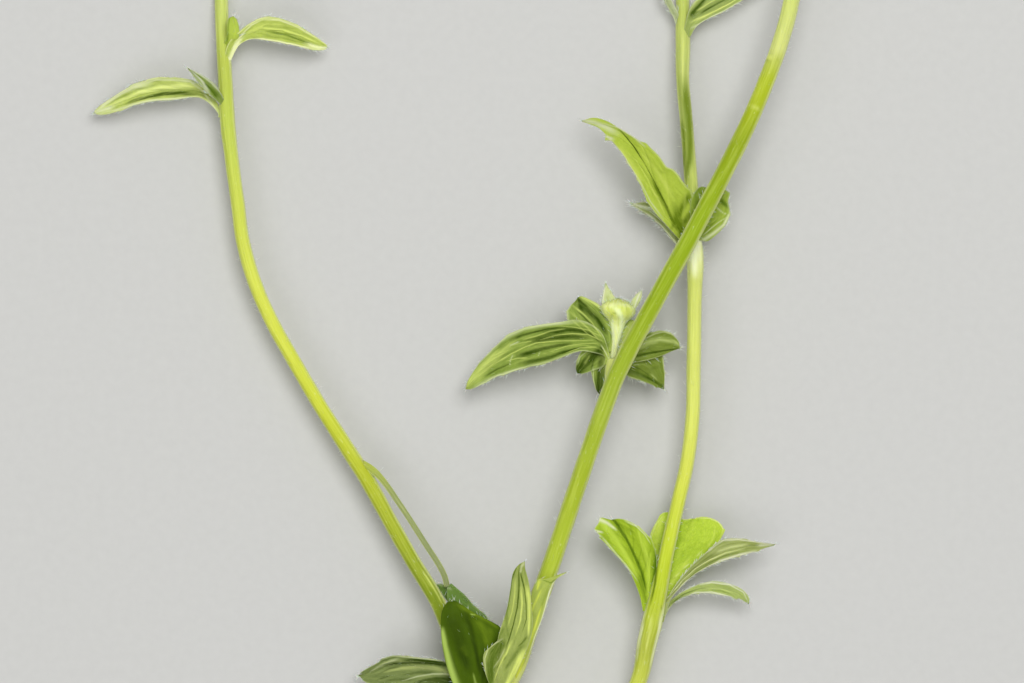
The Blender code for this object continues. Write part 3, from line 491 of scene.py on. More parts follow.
        left=((29.75, 49.62, 0.3), (30.38, 51, 0.6), (31.75, 52.25, 0.7), (34, 53, 0.6), (36.5, 53.38, 0.4)),
        right=((30.75, 48.19, 0.1), (32, 49.12, 0.2), (33.88, 50, 0.3), (36, 51.25, 0.3), (38, 52.38, 0.1)),
        teeth=(("R", 0.6, 0.1, 0.06),))],
    "top_stipule": [Blade("right", (29.12, 48.5),
        rib=((28.25, 49.62, 2.2), (27.62, 50.62, 2.3), (27, 51.75, 2.5), (26.5, 53.25, 2.5)),
        left=((28, 49.38, 0.1), (27.31, 50.62, 0.1), (26.75, 51.88, 0.1)),
        right=((28.5, 50.12, 0.1), (27.94, 51.12, 0.1), (27.38, 52.25, 0.1)))],
}
# The two pointed sepals that spread sideways from the bud
SEPALS = (
    Blade(None, (20.12, 13, 6.4),
        rib=((19.94, 13.75, 6.8), (19.69, 14.75, 7.2), (19.45, 16.06, 7.4)),
        left=((19.06, 13.62, -0.1), (19.12, 14.5, -0.1), (19.28, 15.38, -0.05)),
        right=((20.81, 13.75, -0.15), (20.31, 14.69, -0.1), (19.81, 15.5, -0.05))),
    Blade(None, (22.44, 12.62, 6.4),
        rib=((22.88, 13.38, 6.9), (23.38, 14.25, 7.3), (23.85, 15.12, 7.5)),
        left=((22.47, 13.31, -0.1), (22.85, 14.12, -0.1), (23.38, 14.75, -0.05)),
        right=((23.19, 13, -0.1), (23.7, 13.81, -0.1), (23.95, 14.62, -0.05))),
)

# How each leaf looks: four colours as screen values (mid; light, for lighter streaks and painted
# highlights; dark, for darker streaks, mottling and painted shade; pale), then its form, veins, streaks,
# rim, glow, hairs and slot. Its crest paints highlight on the crests of its folds and shade in their
# hollows.
Look = namedtuple("Look", (
    "mid", "light", "dark", "pale", "base", "fold", "cup", "ripple", "pleats", "pleat", "crest", "veins",
    "sweep", "vein_width", "vein_depth", "vein_light", "quilt", "uneven", "streak_count", "streaks",
    "clouds", "mottle", "cells", "rim", "rim_amount", "glow", "sheen", "hair", "edge_hairs", "face_hairs",
    "tip_hairs", "tip_hair", "slot",
), defaults=(
    0.34, 1, 0, 0.06, 4, 0.04, 0.25, 0, 0.16, 0.028, 0.04, 0.25, 0.05, 0.04, 7, 0.3, 0.3, 0.08, 3.2, 0.2,
    0.8, 0.2, 0.05, 0.75, 3.5, 0.2, 9, 1.1, "leaf",
))
LOOKS = {
    "lower_bract": Look((178, 193, 98), (218, 229, 138), (66, 86, 8), (212, 219, 166), base=0.42, fold=1.2,
        crest=0.3, veins=6, sweep=0.3, vein_light=0.1, streak_count=5, streaks=0.4, rim=0.26,
        rim_amount=0.75, tip_hairs=7),
    "lower_stipule": Look((136, 155, 74), (178, 191, 120), (82, 108, 18), (190, 196, 165), base=0.3,
        fold=1.2, rim=0.3, hair=0.8, edge_hairs=5, tip_hairs=8),
    "upper_bract": Look((178, 193, 92), (208, 221, 116), (104, 126, 38), (232, 238, 176), base=0.38,
        fold=1.2, veins=6, sweep=0.3, vein_light=0.1, streak_count=5, streaks=0.35, rim=0.24,
        rim_amount=0.75, edge_hairs=3.2, tip_hairs=7),
    "left_leaflet": Look((156, 182, 42), (186, 209, 74), (76, 106, 4), (212, 219, 172), base=0.5, crest=0.15,
        veins=7, sweep=0.3, vein_width=0.012, vein_depth=-0.02, vein_light=-0.25, mottle=0.1, rim=0.06,
        rim_amount=0.6, hair=0.6, edge_hairs=2, face_hairs=0.15, tip_hairs=8),
    "broad_leaflet": Look((182, 206, 66), (204, 220, 98), (136, 166, 34), (218, 229, 146), base=0.8,
        cup=0.15, crest=0.2, veins=6, sweep=0.26, vein_width=0.012, vein_light=0.1, quilt=0.08, uneven=0.14,
        streaks=0.12, clouds=0.6, mottle=0.3, cells=4.2, rim=0.05, rim_amount=0.6, glow=0.25, hair=0.4,
        edge_hairs=1.5, face_hairs=0.15, tip_hairs=2),
    "upper_stipule": Look((174, 194, 76), (190, 208, 84), (120, 142, 44), (170, 186, 112), fold=1.2,
        crest=0.1, streaks=0.2, rim=0.35, rim_amount=0.3, hair=1.1, edge_hairs=4, tip_hair=1.7),
    "stalk_leaf": Look((104, 134, 58), (138, 162, 88), (80, 112, 36), (156, 172, 122), fold=1.2, crest=0.1,
        streaks=0.2, clouds=0.5, rim=0.3, rim_amount=0.4, hair=1, edge_hairs=5, face_hairs=0.6, tip_hairs=6),
    # The dark leaf's colours are darkened to paint the deep shade that it lies in.
    "dark_leaf": Look((68, 92, 3), (98, 122, 18), (46, 66, 0), (162, 186, 86), base=0.9, cup=0.12,
        pleats=2.5, pleat=0.05, crest=0.12, streak_count=5, streaks=0.12, mottle=0.03, rim_amount=0,
        glow=0.05, sheen=0.02, hair=0.6, edge_hairs=2, face_hairs=0.05, tip_hairs=3, slot="dark_leaf"),
    "striped_bract": Look((154, 168, 87), (214, 227, 118), (84, 106, 24), (196, 204, 146), base=0.8,
        pleats=3, crest=0.1, streak_count=6, streaks=0.18, clouds=0.2, rim=0.1, rim_amount=0.35, hair=0.5,
        edge_hairs=1.6, face_hairs=0.1, tip_hair=0.7, slot="pale_leaf"),
    "sheath": Look((168, 182, 88), (228, 238, 86), (124, 144, 50), (222, 226, 184), base=0.9, pleats=3,
        pleat=0.03, crest=0.12, streaks=0.2, clouds=0.25, rim_amount=0, hair=0.5, edge_hairs=1,
        face_hairs=0.05, tip_hairs=5, tip_hair=0.8, slot="pale_leaf"),
    "left_bract": Look((120, 134, 76), (160, 171, 102), (48, 68, 0), (190, 198, 150), base=0.8, pleat=0.05,
        crest=0.2, rim=0.14, rim_amount=0.6, edge_hairs=5, face_hairs=0.3, tip_hairs=16, tip_hair=1.5),
    "middle_leaf": Look((131, 152, 64), (190, 205, 106), (50, 72, 0), (192, 202, 146), base=0.5, pleats=5,
        crest=0.2, streaks=0.36, rim=0.16, rim_amount=0.9, glow=0.1, sheen=0.03, hair=0.7, edge_hairs=3,
        face_hairs=0.12, tip_hairs=7, slot="dark_leaf"),
    "right_leaf": Look((116, 134, 50), (170, 184, 106), (64, 86, 8), (178, 187, 132), base=0.6, cup=0.05,
        crest=0.2, veins=4, sweep=0.2, vein_light=-0.2, quilt=0.04, streaks=0.2, rim=0.12, rim_amount=0.7,
        sheen=0.03, hair=0.8, face_hairs=0.25, tip_hair=1.2, slot="dark_leaf"),
    "large_leaf": Look((168, 187, 66), (194, 207, 96), (96, 118, 14), (196, 202, 158), base=0.55, pleat=0.03,
        crest=0.15, veins=5, sweep=0.34, vein_width=0.016, vein_depth=0.05, vein_light=0.2, quilt=0.07,
        streaks=0.18, clouds=0.2, rim=0.1, rim_amount=0.6, hair=0.5, edge_hairs=2.5, face_hairs=0.05,
        tip_hairs=10, tip_hair=0.9),
    "thin_lobe": Look((148, 158, 92), (210, 218, 158), (114, 130, 64), (222, 226, 198), base=0.5, fold=1.2,
        pleats=3, crest=0.2, rim=0.3, hair=1, edge_hairs=5.5, face_hairs=0.4, tip_hairs=14, tip_hair=1.6,
        slot="pale_leaf"),
    "folded_stipule": Look((142, 162, 58), (176, 192, 88), (80, 106, 10), (206, 214, 166), base=0.5,
        pleats=3, crest=0.2, veins=4, sweep=0.3, vein_width=0.02, quilt=0.06, streaks=0.25, rim=0.1,
        rim_amount=0.35, hair=0.8, edge_hairs=5, tip_hairs=4, slot="dark_leaf"),
    "grey_leaflet": Look((146, 157, 86), (204, 213, 142), (112, 128, 54), (210, 212, 178), base=0.4,
        rim=0.14, hair=0.6, face_hairs=0.3, slot="pale_leaf"),
    "thin_leaflet": Look((168, 184, 104), (190, 204, 122), (110, 130, 48), (214, 218, 186), base=0.4,
        hair=0.6, edge_hairs=4, face_hairs=0.3, slot="pale_leaf"),
    "top_leaf": Look((150, 166, 90), (206, 218, 122), (72, 94, 22), (208, 216, 168), base=0.45, rim=0.14,
        tip_hairs=7),
    "top_stipule": Look((168, 178, 130), (196, 204, 160), (120, 134, 80), (208, 212, 184), fold=1.2, rim=0.4,
        hair=1, edge_hairs=7, tip_hairs=8, slot="pale_leaf"),
}
SEPAL_LOOK = Look((204, 214, 152), (226, 234, 170), (166, 180, 104), (230, 233, 208), base=0.75, ripple=0,
    pleats=2.5, pleat=0.03, crest=0.15, streaks=0.2, rim=0.3, rim_amount=0.6, sheen=0.1, hair=0.45,
    edge_hairs=9, face_hairs=1.5, tip_hairs=6, tip_hair=0.6)

# Strokes: kind (L light: painted highlights on ridges and lit sides, and lighter veins; D dark: painted
# shade in grooves, folds, hollows and beside stems, and darker lines; P pale: pale margins, veins and hairs,
# and painted highlights), half width, amount, plan points, and rise where there is one
Stroke = namedtuple("Stroke", "kind half amount points relief", defaults=(0,))
STROKES = {
    "lower_bract": (
        ("D", 0.38, 1, ((-31.8, 39.8), (-33.8, 39.9), (-35.8, 39.8), (-37.8, 39.4), (-39.5, 38.8),
            (-41, 38.2)), -0.1),
        ("D", 0.19, 0.8, ((-34.25, 39.94), (-35.75, 39.88), (-37.25, 39.56)), -0.05),
        ("D", 0.16, 0.7, ((-38.25, 39.38), (-39.5, 39.06), (-40.5, 38.62)), -0.05),
        ("D", 0.33, 0.25, ((-31.8, 40.5), (-33, 40.1), (-34.2, 40.1))),
        ("L", 0.47, 1, ((-30.8, 40.8), (-33.2, 40.9), (-36.2, 40.7), (-39, 40), (-41.5, 38.9),
            (-43.8, 37.8)), 0.1),
        ("L", 0.17, 0.6, ((-37.25, 39.12), (-39.25, 38.77), (-41.5, 38.06)), 0.04),
        ("P", 0.2, 0.7, ((-29, 37.5), (-30.2, 39), (-31.2, 40.5), (-32.5, 41.4), (-34.8, 41.6),
            (-36.8, 41.6), (-39, 40.9)), 0.03),
        ("P", 0.2, 0.6, ((-32.5, 39.3), (-35.2, 39.1), (-37.5, 38.9), (-39.8, 38.4), (-41.8, 37.8),
            (-44.5, 37.2)), 0.03),
        ("P", 0.38, 0.9, ((-37.5, 41.2), (-39.2, 40.8), (-41, 40.1), (-42.8, 38.9), (-44.5, 37.6))),
        ("P", 0.45, 1, ((-42.2, 38.2), (-43.5, 37.8), (-45.2, 37.4))),
    ),
    "lower_stipule": (
        ("D", 0.4, 1, ((-29, 39.4), (-29.9, 40.4), (-30.8, 41.1)), -0.06),
        ("P", 0.23, 0.9, ((-30.2, 40.1), (-31.2, 41.5), (-32.5, 42.8)), 0.05),
        ("P", 0.12, 0.6, ((-28.75, 40), (-29.75, 41.12), (-31.12, 42.12), (-32.5, 42.88)), 0.03),
    ),
    "upper_bract": (
        ("D", 0.2, 0.95, ((-22.8, 47.6), (-20.6, 47.2), (-18.4, 46.4), (-16.6, 45.8)), -0.1),
        ("D", 0.23, 0.4, ((-23.5, 47.1), (-21.2, 46.8), (-19, 46.2)), -0.03),
        ("D", 0.2, 0.35, ((-20.8, 47), (-19.2, 46.6), (-17.8, 46)), -0.03),
        ("L", 0.24, 0.9, ((-25.9, 47), (-25, 47.6), (-23.5, 48.1), (-21, 47.9), (-18.5, 47.1),
            (-16.2, 46.1)), 0.12),
        ("L", 0.12, 0.5, ((-25, 47.75), (-23, 48.62), (-20.75, 48.5)), 0.03),
        ("P", 0.5, 1, ((-28.9, 41), (-28, 43.2), (-27.4, 44.5), (-26.9, 45.6), (-25.9, 47))),
        ("P", 0.19, 0.7, ((-27.38, 45), (-26.75, 46.38), (-25.88, 47.5), (-24.88, 48.44),
            (-23.5, 49.09)), 0.03),
        ("P", 0.15, 0.5, ((-23.5, 49.12), (-21.38, 49.09), (-19.12, 48.19), (-17, 46.94))),
        ("P", 0.15, 0.6, ((-25.5, 46.5), (-23.5, 46.62), (-21.25, 46.27), (-18.75, 45.75),
            (-17, 45.44)), 0.03),
        ("P", 0.42, 1, ((-18, 46), (-16.5, 45.6), (-14.5, 45.6))),
    ),
    "left_leaflet": (
        # This dark stroke paints the shadow between the leaflet's base and the right stem.
        ("D", 0.75, 1, ((25.1, -25.8), (25.4, -24), (25.6, -21.8), (25.8, -19.5), (26, -16)), -0.05),
        ("D", 0.5, 0.45, ((23.4, -20), (24.1, -21.8), (24.6, -24))),
        ("D", 0.28, 0.95, ((19.8, -12.5), (20.8, -13.9), (21.6, -15.1), (22.4, -16.5), (23.2, -18.2),
            (24, -20.1), (24.6, -22.5)), -0.12),
        ("D", 0.33, 0.5, ((23.2, -18), (24, -20), (24.4, -21.8)), -0.02),
        ("L", 0.62, 0.8, ((18.5, -13.2), (19.8, -14.8), (21, -16.5), (22.1, -18.4), (23.5, -20.8)), 0.02),
        ("L", 0.17, 0.6, ((23.5, -14.62), (23.88, -16), (24.12, -17.5)), 0.04),
        ("L", 0.45, 0.6, ((23.8, -14.5), (24.4, -17), (24.8, -19.2), (24.8, -21.5), (24.8, -24)), 0.03),
        ("L", 0.12, 0.7, ((25.06, -17.62), (25, -19.25), (24.94, -20.75), (24.75, -22.5)), 0.05),
        ("P", 0.12, 0.7, ((21.88, -13.56), (23.38, -14.31), (24.38, -15.31), (25.12, -16.5))),
        ("P", 0.33, 1, ((17.8, -12.6), (18.6, -13.4), (19.6, -13.9), (20.8, -14.8))),
        ("P", 0.23, 1, ((17.2, -14.8), (18.2, -14.9), (19.1, -15.1))),
        ("P", 0.12, 0.6, ((18.75, -15.38), (20.25, -17.12), (22, -19.12), (23.5, -21.25))),
    ),
    "broad_leaflet": (
        ("L", 0.75, 0.4, ((25, -20.2), (25.5, -17.5), (26.1, -15), (26.8, -11.8))),
        ("L", 0.5, 0.6, ((26.8, -22.8), (28, -21), (30, -18.2))),
        ("D", 0.38, 0.4, ((28.8, -15.5), (27.9, -18), (27.1, -20.2))),
        ("L", 0.38, 0.6, ((25.6, -15.5), (26.2, -14), (27, -13.1))),
        ("P", 0.12, 0.6, ((28.25, -20.62), (28.75, -20.12)), 0.03),
        ("P", 0.15, 0.7, ((29.25, -19.62), (30, -19)), 0.04),
        ("P", 0.11, 0.5, ((30.88, -18.12), (31.62, -17.25)), 0.02),
        ("P", 0.11, 0.6, ((29.25, -13.56), (30.88, -13.25), (32.5, -13.35), (33.62, -13.81), (34.19, -14.62),
            (33.94, -15.62))),
        ("P", 0.11, 0.6, ((25.12, -15.75), (25.75, -14.12), (26.75, -12.81))),
        ("L", 0.2, 0.5, ((32.2, -17), (33, -15.8), (33.2, -14.5)), 0.02),
    ),
    "upper_stipule": (
        ("L", 0.17, 0.5, ((-27, 46.5), (-26.88, 47.75), (-27.12, 49))),
        ("D", 0.2, 0.8, ((-27.9, 46), (-27.8, 47.1), (-27.8, 48.2), (-27.5, 49.8))),
        ("L", 0.38, 0.7, ((-28.1, 44.8), (-27.8, 45.9), (-27.4, 46.9))),
    ),
    "stalk_leaf": (
        ("P", 0.2, 0.8, ((0.2, -22.2), (-0.9, -21.8), (-1.6, -21.6))),
        ("L", 0.3, 0.6, ((2.5, -24), (3.8, -25), (5, -25.9))),
        ("D", 0.5, 0.5, ((0, -23.8), (1, -24), (1.8, -24.5))),
    ),
    "dark_leaf": (
        ("D", 1.38, 0.9, ((-0.1, -25), (0.8, -27.5), (1.5, -30), (2.5, -32.5)), -0.05),
        ("D", 0.5, 1, ((1.8, -24.6), (2.6, -27.1), (3.2, -29.5), (3.8, -32.8)), -0.1),
        ("L", 0.75, 0.75, ((3.4, -25.8), (4.4, -27.5), (4.6, -29.2)), 0.08),
        ("L", 0.5, 0.6, ((5.1, -26.9), (5, -28.8), (4.6, -30.4)), 0.05),
        ("L", 0.56, 0.25, ((1.5, -29.2), (2.2, -30.5)), 0.04),
        ("D", 0.38, 0.6, ((5.6, -29.5), (5.1, -31.2), (4.6, -33.5))),
        ("D", 0.5, 0.7, ((4.8, -30), (4.2, -32), (4, -34))),
        ("P", 0.65, 1, ((1.1, -35.5), (0.6, -33.8), (0, -31.8), (-0.6, -29.2), (-0.9, -27.1)), 0.14),
        ("P", 0.25, 1, ((-1, -27), (-0.8, -28.8), (-0.4, -30.2)), 0.04),
        ("D", 0.1, 0.6, ((-0.62, -27.5), (-0.05, -29.75), (0.62, -31.5), (1.31, -33.38)), -0.06),
        ("L", 0.4, 1, ((1, -24), (2, -24.6), (3.1, -25.2), (4.8, -26.1), (6.1, -27)), 0.05),
        ("P", 0.11, 1, ((2.62, -25.22), (3.25, -25.31)), 0.03),
        ("P", 0.25, 0.5, ((3.8, -35), (3.2, -33.8), (2.9, -32.6)), 0.05),
    ),
    "striped_bract": (
        ("D", 0.38, 0.42, ((6.9, -22.2), (7, -24.2), (7.1, -26.5), (7.4, -28.5))),
        ("D", 0.12, 1, ((8.81, -18.75), (8.62, -19.88), (8.62, -22.2), (8.41, -24.38), (7.96, -26.38),
            (7.5, -28), (6.88, -29.75)), -0.14),
        ("D", 0.11, 1, ((8.75, -19.25), (8.88, -20.38), (9.33, -22.2), (9.5, -24), (9.53, -25.84),
            (9, -27.5)), -0.12),
        ("D", 0.12, 0.95, ((8.5, -18.88), (8.19, -19.62), (7.75, -20.88), (7.6, -22.25), (7.31, -24.12),
            (6.81, -26)), -0.02),
        ("L", 0.2, 0.5, ((8.2, -20.8), (8.1, -22.8), (7.8, -24.8), (7.2, -26.8)), 0.06),
        ("L", 0.2, 0.7, ((8.8, -21.8), (9, -23.8), (8.8, -25.8), (8.2, -27.8)), 0.06),
        ("L", 0.33, 0.9, ((9.6, -21.8), (9.9, -23.5), (9.9, -25.2), (9.8, -27.8)), 0.03),
        ("D", 0.25, 0.5, ((6.8, -26.8), (6.2, -28), (5.9, -28.8)), -0.03),
        ("D", 0.17, 0.8, ((9.62, -28), (9.12, -28.69), (8.5, -29.25)), -0.08),
        ("D", 0.42, 0.6, ((9.2, -28.8), (8, -30.5), (6.8, -32.2)), -0.05),
        ("D", 0.15, 0.95, ((7, -30.5), (6.38, -31.25), (5.75, -32)), -0.08),
        ("D", 1.06, 1, ((6.5, -28), (5.5, -30), (5.1, -31.5), (5, -34.5)), -0.02),
        ("D", 0.38, 0.7, ((6.9, -28.6), (6.2, -29.8), (5.9, -31.2)), -0.04),
        ("L", 0.17, 0.7, ((7.75, -28.5), (7.12, -30), (6.25, -31.5), (5.5, -33.5)), 0.06),
        ("L", 0.28, 0.7, ((9.2, -29.8), (8.4, -31.2), (7.4, -33.2)), 0.05),
        ("L", 0.56, 1, ((9.2, -30), (8.5, -31.5), (7.5, -33.2), (6.5, -35))),
        ("P", 0.12, 0.8, ((6.62, -28.25), (5.75, -28.75), (4.75, -29.5), (4.33, -30.75),
            (4.5, -32.75)), 0.05),
        ("P", 0.11, 0.5, ((6.88, -29.5), (6.25, -30.75), (5.38, -32)), 0.05),
        ("P", 0.23, 0.95, ((9.4, -18.6), (8.9, -19.2), (8.8, -20))),
        ("P", 0.1, 0.5, ((9.62, -20), (10, -21.5), (10.12, -23)), 0.02),
    ),
    "sheath": (
        ("P", 0.14, 1, ((14.5, -20), (13.38, -20.81), (12.88, -21.38), (12.42, -22.38), (11.88, -24.38),
            (11.33, -26.2), (10.6, -28), (10, -29.88), (9.12, -32)), 0.1),
        ("D", 0.14, 1, ((13.25, -20.88), (12.6, -21.31), (11.56, -20.94)), -0.04),
        ("L", 0.25, 0.6, ((11.2, -21), (10.9, -22.2))),
        ("D", 0.33, 0.5, ((12.5, -21.6), (11.6, -23.6), (11, -25.4))),
        ("L", 0.2, 0.4, ((11.4, -22.2), (10.5, -24.2), (9.8, -26.2))),
        ("L", 0.88, 1, ((7.8, -36.2), (8.2, -34), (8.6, -31.8), (9.2, -29))),
        ("L", 0.28, 0.6, ((9.6, -29.5), (10.6, -26.8), (11.4, -24.2))),
    ),
    "left_bract": (
        ("D", 0.24, 1, ((2, -31.9), (-0.2, -31.7), (-2.5, -31.5), (-4.8, -31.4), (-7, -31.5),
            (-8.2, -31.8)), -0.18),
        ("D", 0.35, 0.9, ((0.2, -31.4), (-1.8, -31.2), (-4, -31), (-6, -31)), -0.02),
        ("P", 0.12, 0.7, ((-0.62, -31.1), (-2.75, -30.85), (-5, -30.66), (-6.75, -30.56)), 0.03),
        ("L", 0.4, 0.9, ((0.2, -32.5), (-1.8, -32.1), (-4, -31.9), (-6.2, -32.1), (-8.2, -32.6)), 0.1),
        ("P", 0.2, 0.6, ((-6.5, -30.8), (-8.2, -31.4), (-10, -32.4)), 0.05),
        ("L", 0.17, 0.5, ((-5.75, -31.06), (-7.5, -31.06), (-9, -31.62)), 0.04),
        ("D", 0.33, 0.5, ((-1.8, -32.6), (-3.8, -32.6), (-5.8, -32.9)), -0.03),
        ("D", 0.15, 0.55, ((-6, -31.88), (-7.5, -32.12), (-9, -32.88)), -0.05),
        ("D", 0.3, 0.5, ((-4.5, -33.5), (-6.2, -33.5), (-8, -33.6)), -0.02),
        ("D", 0.81, 1, ((3, -34.5), (0.8, -34), (-1.2, -33.8), (-3.5, -34.1)), -0.14),
        ("D", 0.45, 1, ((2.2, -34), (0.2, -33.5), (-1.8, -33.4), (-3.2, -33.6), (-4.8, -34.1)), -0.06),
        ("P", 0.14, 0.8, ((1.25, -33.06), (-0.5, -32.81), (-2.25, -32.81), (-4.12, -33.12),
            (-6, -33.69)), 0.07),
        ("D", 0.09, 0.5, ((-7.5, -33), (-9.25, -33.62)), -0.04),
        ("D", 0.09, 0.5, ((-8.25, -31.94), (-10, -32.88)), -0.04),
    ),
    "middle_leaf": (
        # This light stroke paints the sheet behind the funnel lighter, against the main stem's shadow on it.
        ("L", 1.25, 1, ((19.8, 5.8), (21, 8), (22.2, 10), (23.8, 12.2))),
        ("L", 0.14, 1, ((3, 4.06), (5.25, 5.81), (7.62, 7.25), (9.25, 8.06), (10.75, 8.62), (13.25, 8.88),
            (15.62, 8.88), (17.88, 8.94)), 0.12),
        ("L", 0.11, 0.85, ((9.12, 9.06), (10.75, 9.5), (12.5, 10.12), (14.5, 10.44)), 0.08),
        ("L", 0.09, 0.8, ((19, 8.88), (17.25, 9.69), (15.25, 9.81), (13.25, 9.62), (11.25, 9)), 0.1),
        ("L", 0.09, 0.75, ((19, 9.38), (17.25, 10.25), (15.5, 10.62), (13.75, 10.75)), 0.09),
        ("L", 0.07, 0.7, ((18.75, 8.62), (16.5, 8.5), (14.5, 8.19), (12.75, 7.56), (11.25, 7.12)), 0.08),
        ("L", 0.1, 0.8, ((9.62, 6.75), (8.38, 6.69), (7, 6.31)), 0.08),
        ("L", 0.09, 0.75, ((7.75, 8.31), (9, 8.69), (10.25, 8.88)), 0.07),
        ("L", 0.09, 0.7, ((5, 6.88), (6.25, 7.44), (7.5, 7.81)), 0.06),
        ("L", 0.1, 0.7, ((18.25, 8.12), (16.25, 8), (14.5, 7.38)), 0.05),
        ("L", 0.09, 0.6, ((4.25, 5.75), (5.75, 6.88), (7, 7.5)), 0.05),
        ("D", 0.62, 1, ((10, 8.8), (12, 9.2), (13.8, 9.4), (15.5, 9.4), (17.2, 9.3)), -0.06),
        ("D", 0.38, 1, ((8.5, 7), (10, 7.4), (11.6, 7.9), (13.5, 8.3), (15.2, 8.5)), -0.06),
        ("D", 0.4, 0.9, ((8.8, 6), (10.8, 6.4), (12.5, 6.8), (14.2, 7.5), (16, 7.9)), -0.05),
        ("D", 0.47, 1, ((12, 9.9), (14.5, 10.3), (16.2, 10.2), (17.8, 9.6), (19.2, 8.5)), -0.05),
        ("D", 0.23, 0.8, ((7.5, 9), (9, 9.6), (10.5, 10), (12.2, 10.4), (14, 10.6)), -0.05),
        ("D", 0.19, 0.65, ((4.25, 5.38), (5.75, 6.5), (7.25, 7.5)), -0.04),
        ("D", 0.15, 0.65, ((4.25, 4.38), (6, 5.38), (7.75, 6.12)), -0.04),
        ("D", 0.15, 0.7, ((17, 8.12), (15.5, 7.88), (14, 7.25)), -0.05),
        ("L", 0.5, 0.8, ((1.8, 3), (3, 4.5), (4.2, 6), (6, 7.8))),
        ("P", 0.12, 0.85, ((8.62, 8.81), (7.62, 8.38), (7.5, 8.19))),
        ("P", 0.07, 0.9, ((7.88, 7.12), (7.56, 6.38), (7.5, 5.62)), 0.02),
        ("P", 0.06, 0.8, ((11.25, 7.5), (11, 6.88)), 0.02),
        ("D", 0.62, 1, ((15.8, 13.5), (17, 12.8), (18.4, 11.6), (19.6, 9.8)), -0.06),
        ("D", 0.33, 1, ((15.9, 14.2), (16.5, 13.6), (17.2, 13.1)), -0.05),
        ("L", 0.17, 1, ((16.38, 14.38), (17.75, 13.75), (18.75, 13.06), (19.56, 12.38), (20.12, 11.38),
            (20.31, 9.88), (20.35, 8.38), (19.88, 6.62)), 0.12),
        ("P", 0.12, 0.9, ((18.75, 13.12), (19.5, 12.5), (20.12, 11.38), (20.35, 9.88), (20.35, 8.25),
            (19.88, 6.5)), 0.05),
        ("L", 0.42, 0.9, ((16, 14.8), (17.2, 14.1), (18.5, 13.4), (19.5, 12.5), (20.1, 11.4), (20.4, 10))),
        ("P", 0.11, 0.9, ((18.88, 8.38), (19.38, 7.56), (19.81, 6.81), (20.12, 6)), 0.03),
        ("L", 0.14, 0.8, ((15.38, 13.25), (16.62, 12.25), (17.75, 11.12), (18.88, 9.5)), 0.08),
        ("L", 0.2, 0.6, ((15, 12.5), (16.2, 11.4), (17.5, 10.2), (18.8, 8.8)), 0.05),
        ("L", 0.12, 0.5, ((15.12, 11.62), (16.25, 10.62), (17.5, 9.5)), 0.05),
        ("D", 0.12, 0.7, ((15.88, 12.62), (17, 11.56), (18.25, 10.12)), -0.05),
        ("D", 0.11, 0.6, ((15.5, 11.88), (16.75, 10.81), (18, 9.38)), -0.04),
        ("D", 0.28, 0.9, ((15.9, 4.9), (16.2, 5.8))),
        ("D", 1.12, 1, ((15.2, 4.2), (16.5, 5.8), (17.8, 6.8), (19.5, 8.2))),
        ("L", 0.75, 0.6, ((2.5, 3.2), (4.2, 5.2), (6.2, 7.2), (8.2, 9))),
        ("P", 0.38, 0.5, ((4, 6.8), (6.2, 9), (9.2, 10.4), (12.8, 11), (16, 11.2))),
        ("P", 0.3, 0.5, ((3, 3), (5, 4.1), (7, 4.9), (9.2, 5.5))),
        ("D", 0.15, 0.8, ((17.69, 5.25), (18, 6.75), (18.75, 8)), -0.07),
        ("D", 0.75, 1, ((18.5, 1), (18.6, 3.2), (18.8, 5.2), (19, 7.8))),
        ("L", 0.25, 0.4, ((16.8, 6), (17.5, 7.1)), 0.02),
        ("P", 0.11, 0.65, ((15.94, 6), (16.25, 6.88), (17.25, 7.69)), 0.03),
        ("P", 0.09, 0.7, ((17.9, 5.62), (17.95, 4), (18.38, 2.38)), 0.03),
        ("L", 0.14, 0.9, ((19.12, 8.12), (19.56, 7.12), (20, 6.25)), 0.07),
    ),
    "right_leaf": (
        ("L", 0.47, 0.9, ((23, 7.8), (24.5, 8.6), (26.2, 9.1), (28, 8.8), (29.2, 8)), 0.04),
        ("D", 0.2, 0.9, ((23.2, 7), (25.2, 7.4), (27, 7.7), (28.6, 7.9)), -0.1),
        ("D", 0.42, 0.9, ((21.2, 5.8), (22.8, 5), (24.4, 4.4), (26, 3.6), (27.2, 2.8)), -0.04),
        ("D", 0.15, 0.5, ((22.5, 5.75), (23.75, 5.38), (25, 4.5)), -0.03),
        ("P", 0.15, 0.85, ((22.25, 7.88), (24, 9), (25.62, 9.81), (26.88, 10.06)), 0.03),
        ("P", 0.17, 0.85, ((26.88, 10.06), (28, 9.69), (28.75, 8.75))),
        ("P", 0.11, 0.8, ((26.62, 6.88), (26.81, 5.5), (26.88, 3.88), (26.75, 2.88)), 0.02),
        ("P", 0.1, 0.6, ((22.25, 4.44), (23.75, 3.81), (25.12, 3.25))),
        ("P", 0.07, 0.7, ((22.88, 5.88), (23.75, 5.94)), 0.02),
        ("L", 0.17, 0.7, ((25.12, 4.75), (25.88, 4)), 0.04),
    ),
    "large_leaf": (
        ("D", 0.12, 1, ((21.12, 35.5), (23, 33.12), (24.38, 30.94), (25.62, 28.62), (26.75, 26.25),
            (27.75, 23.75)), -0.18),
        # The next four dark strokes paint the shade in the rib's groove near the base and beside the right
        # stem.
        ("D", 0.42, 1, ((25.2, 29), (26.4, 26.8), (27.4, 24.8), (28.2, 23)), -0.04),
        ("D", 1.06, 0.95, ((30.5, 19.5), (29.2, 22), (28.5, 24), (28.1, 26)), -0.03),
        ("D", 0.56, 0.9, ((30.2, 25), (29.5, 24), (28.2, 22.8)), -0.03),
        ("D", 0.62, 0.9, ((30.2, 27.5), (29.2, 25.9), (28.5, 24.5), (27.6, 22.8)), -0.02),
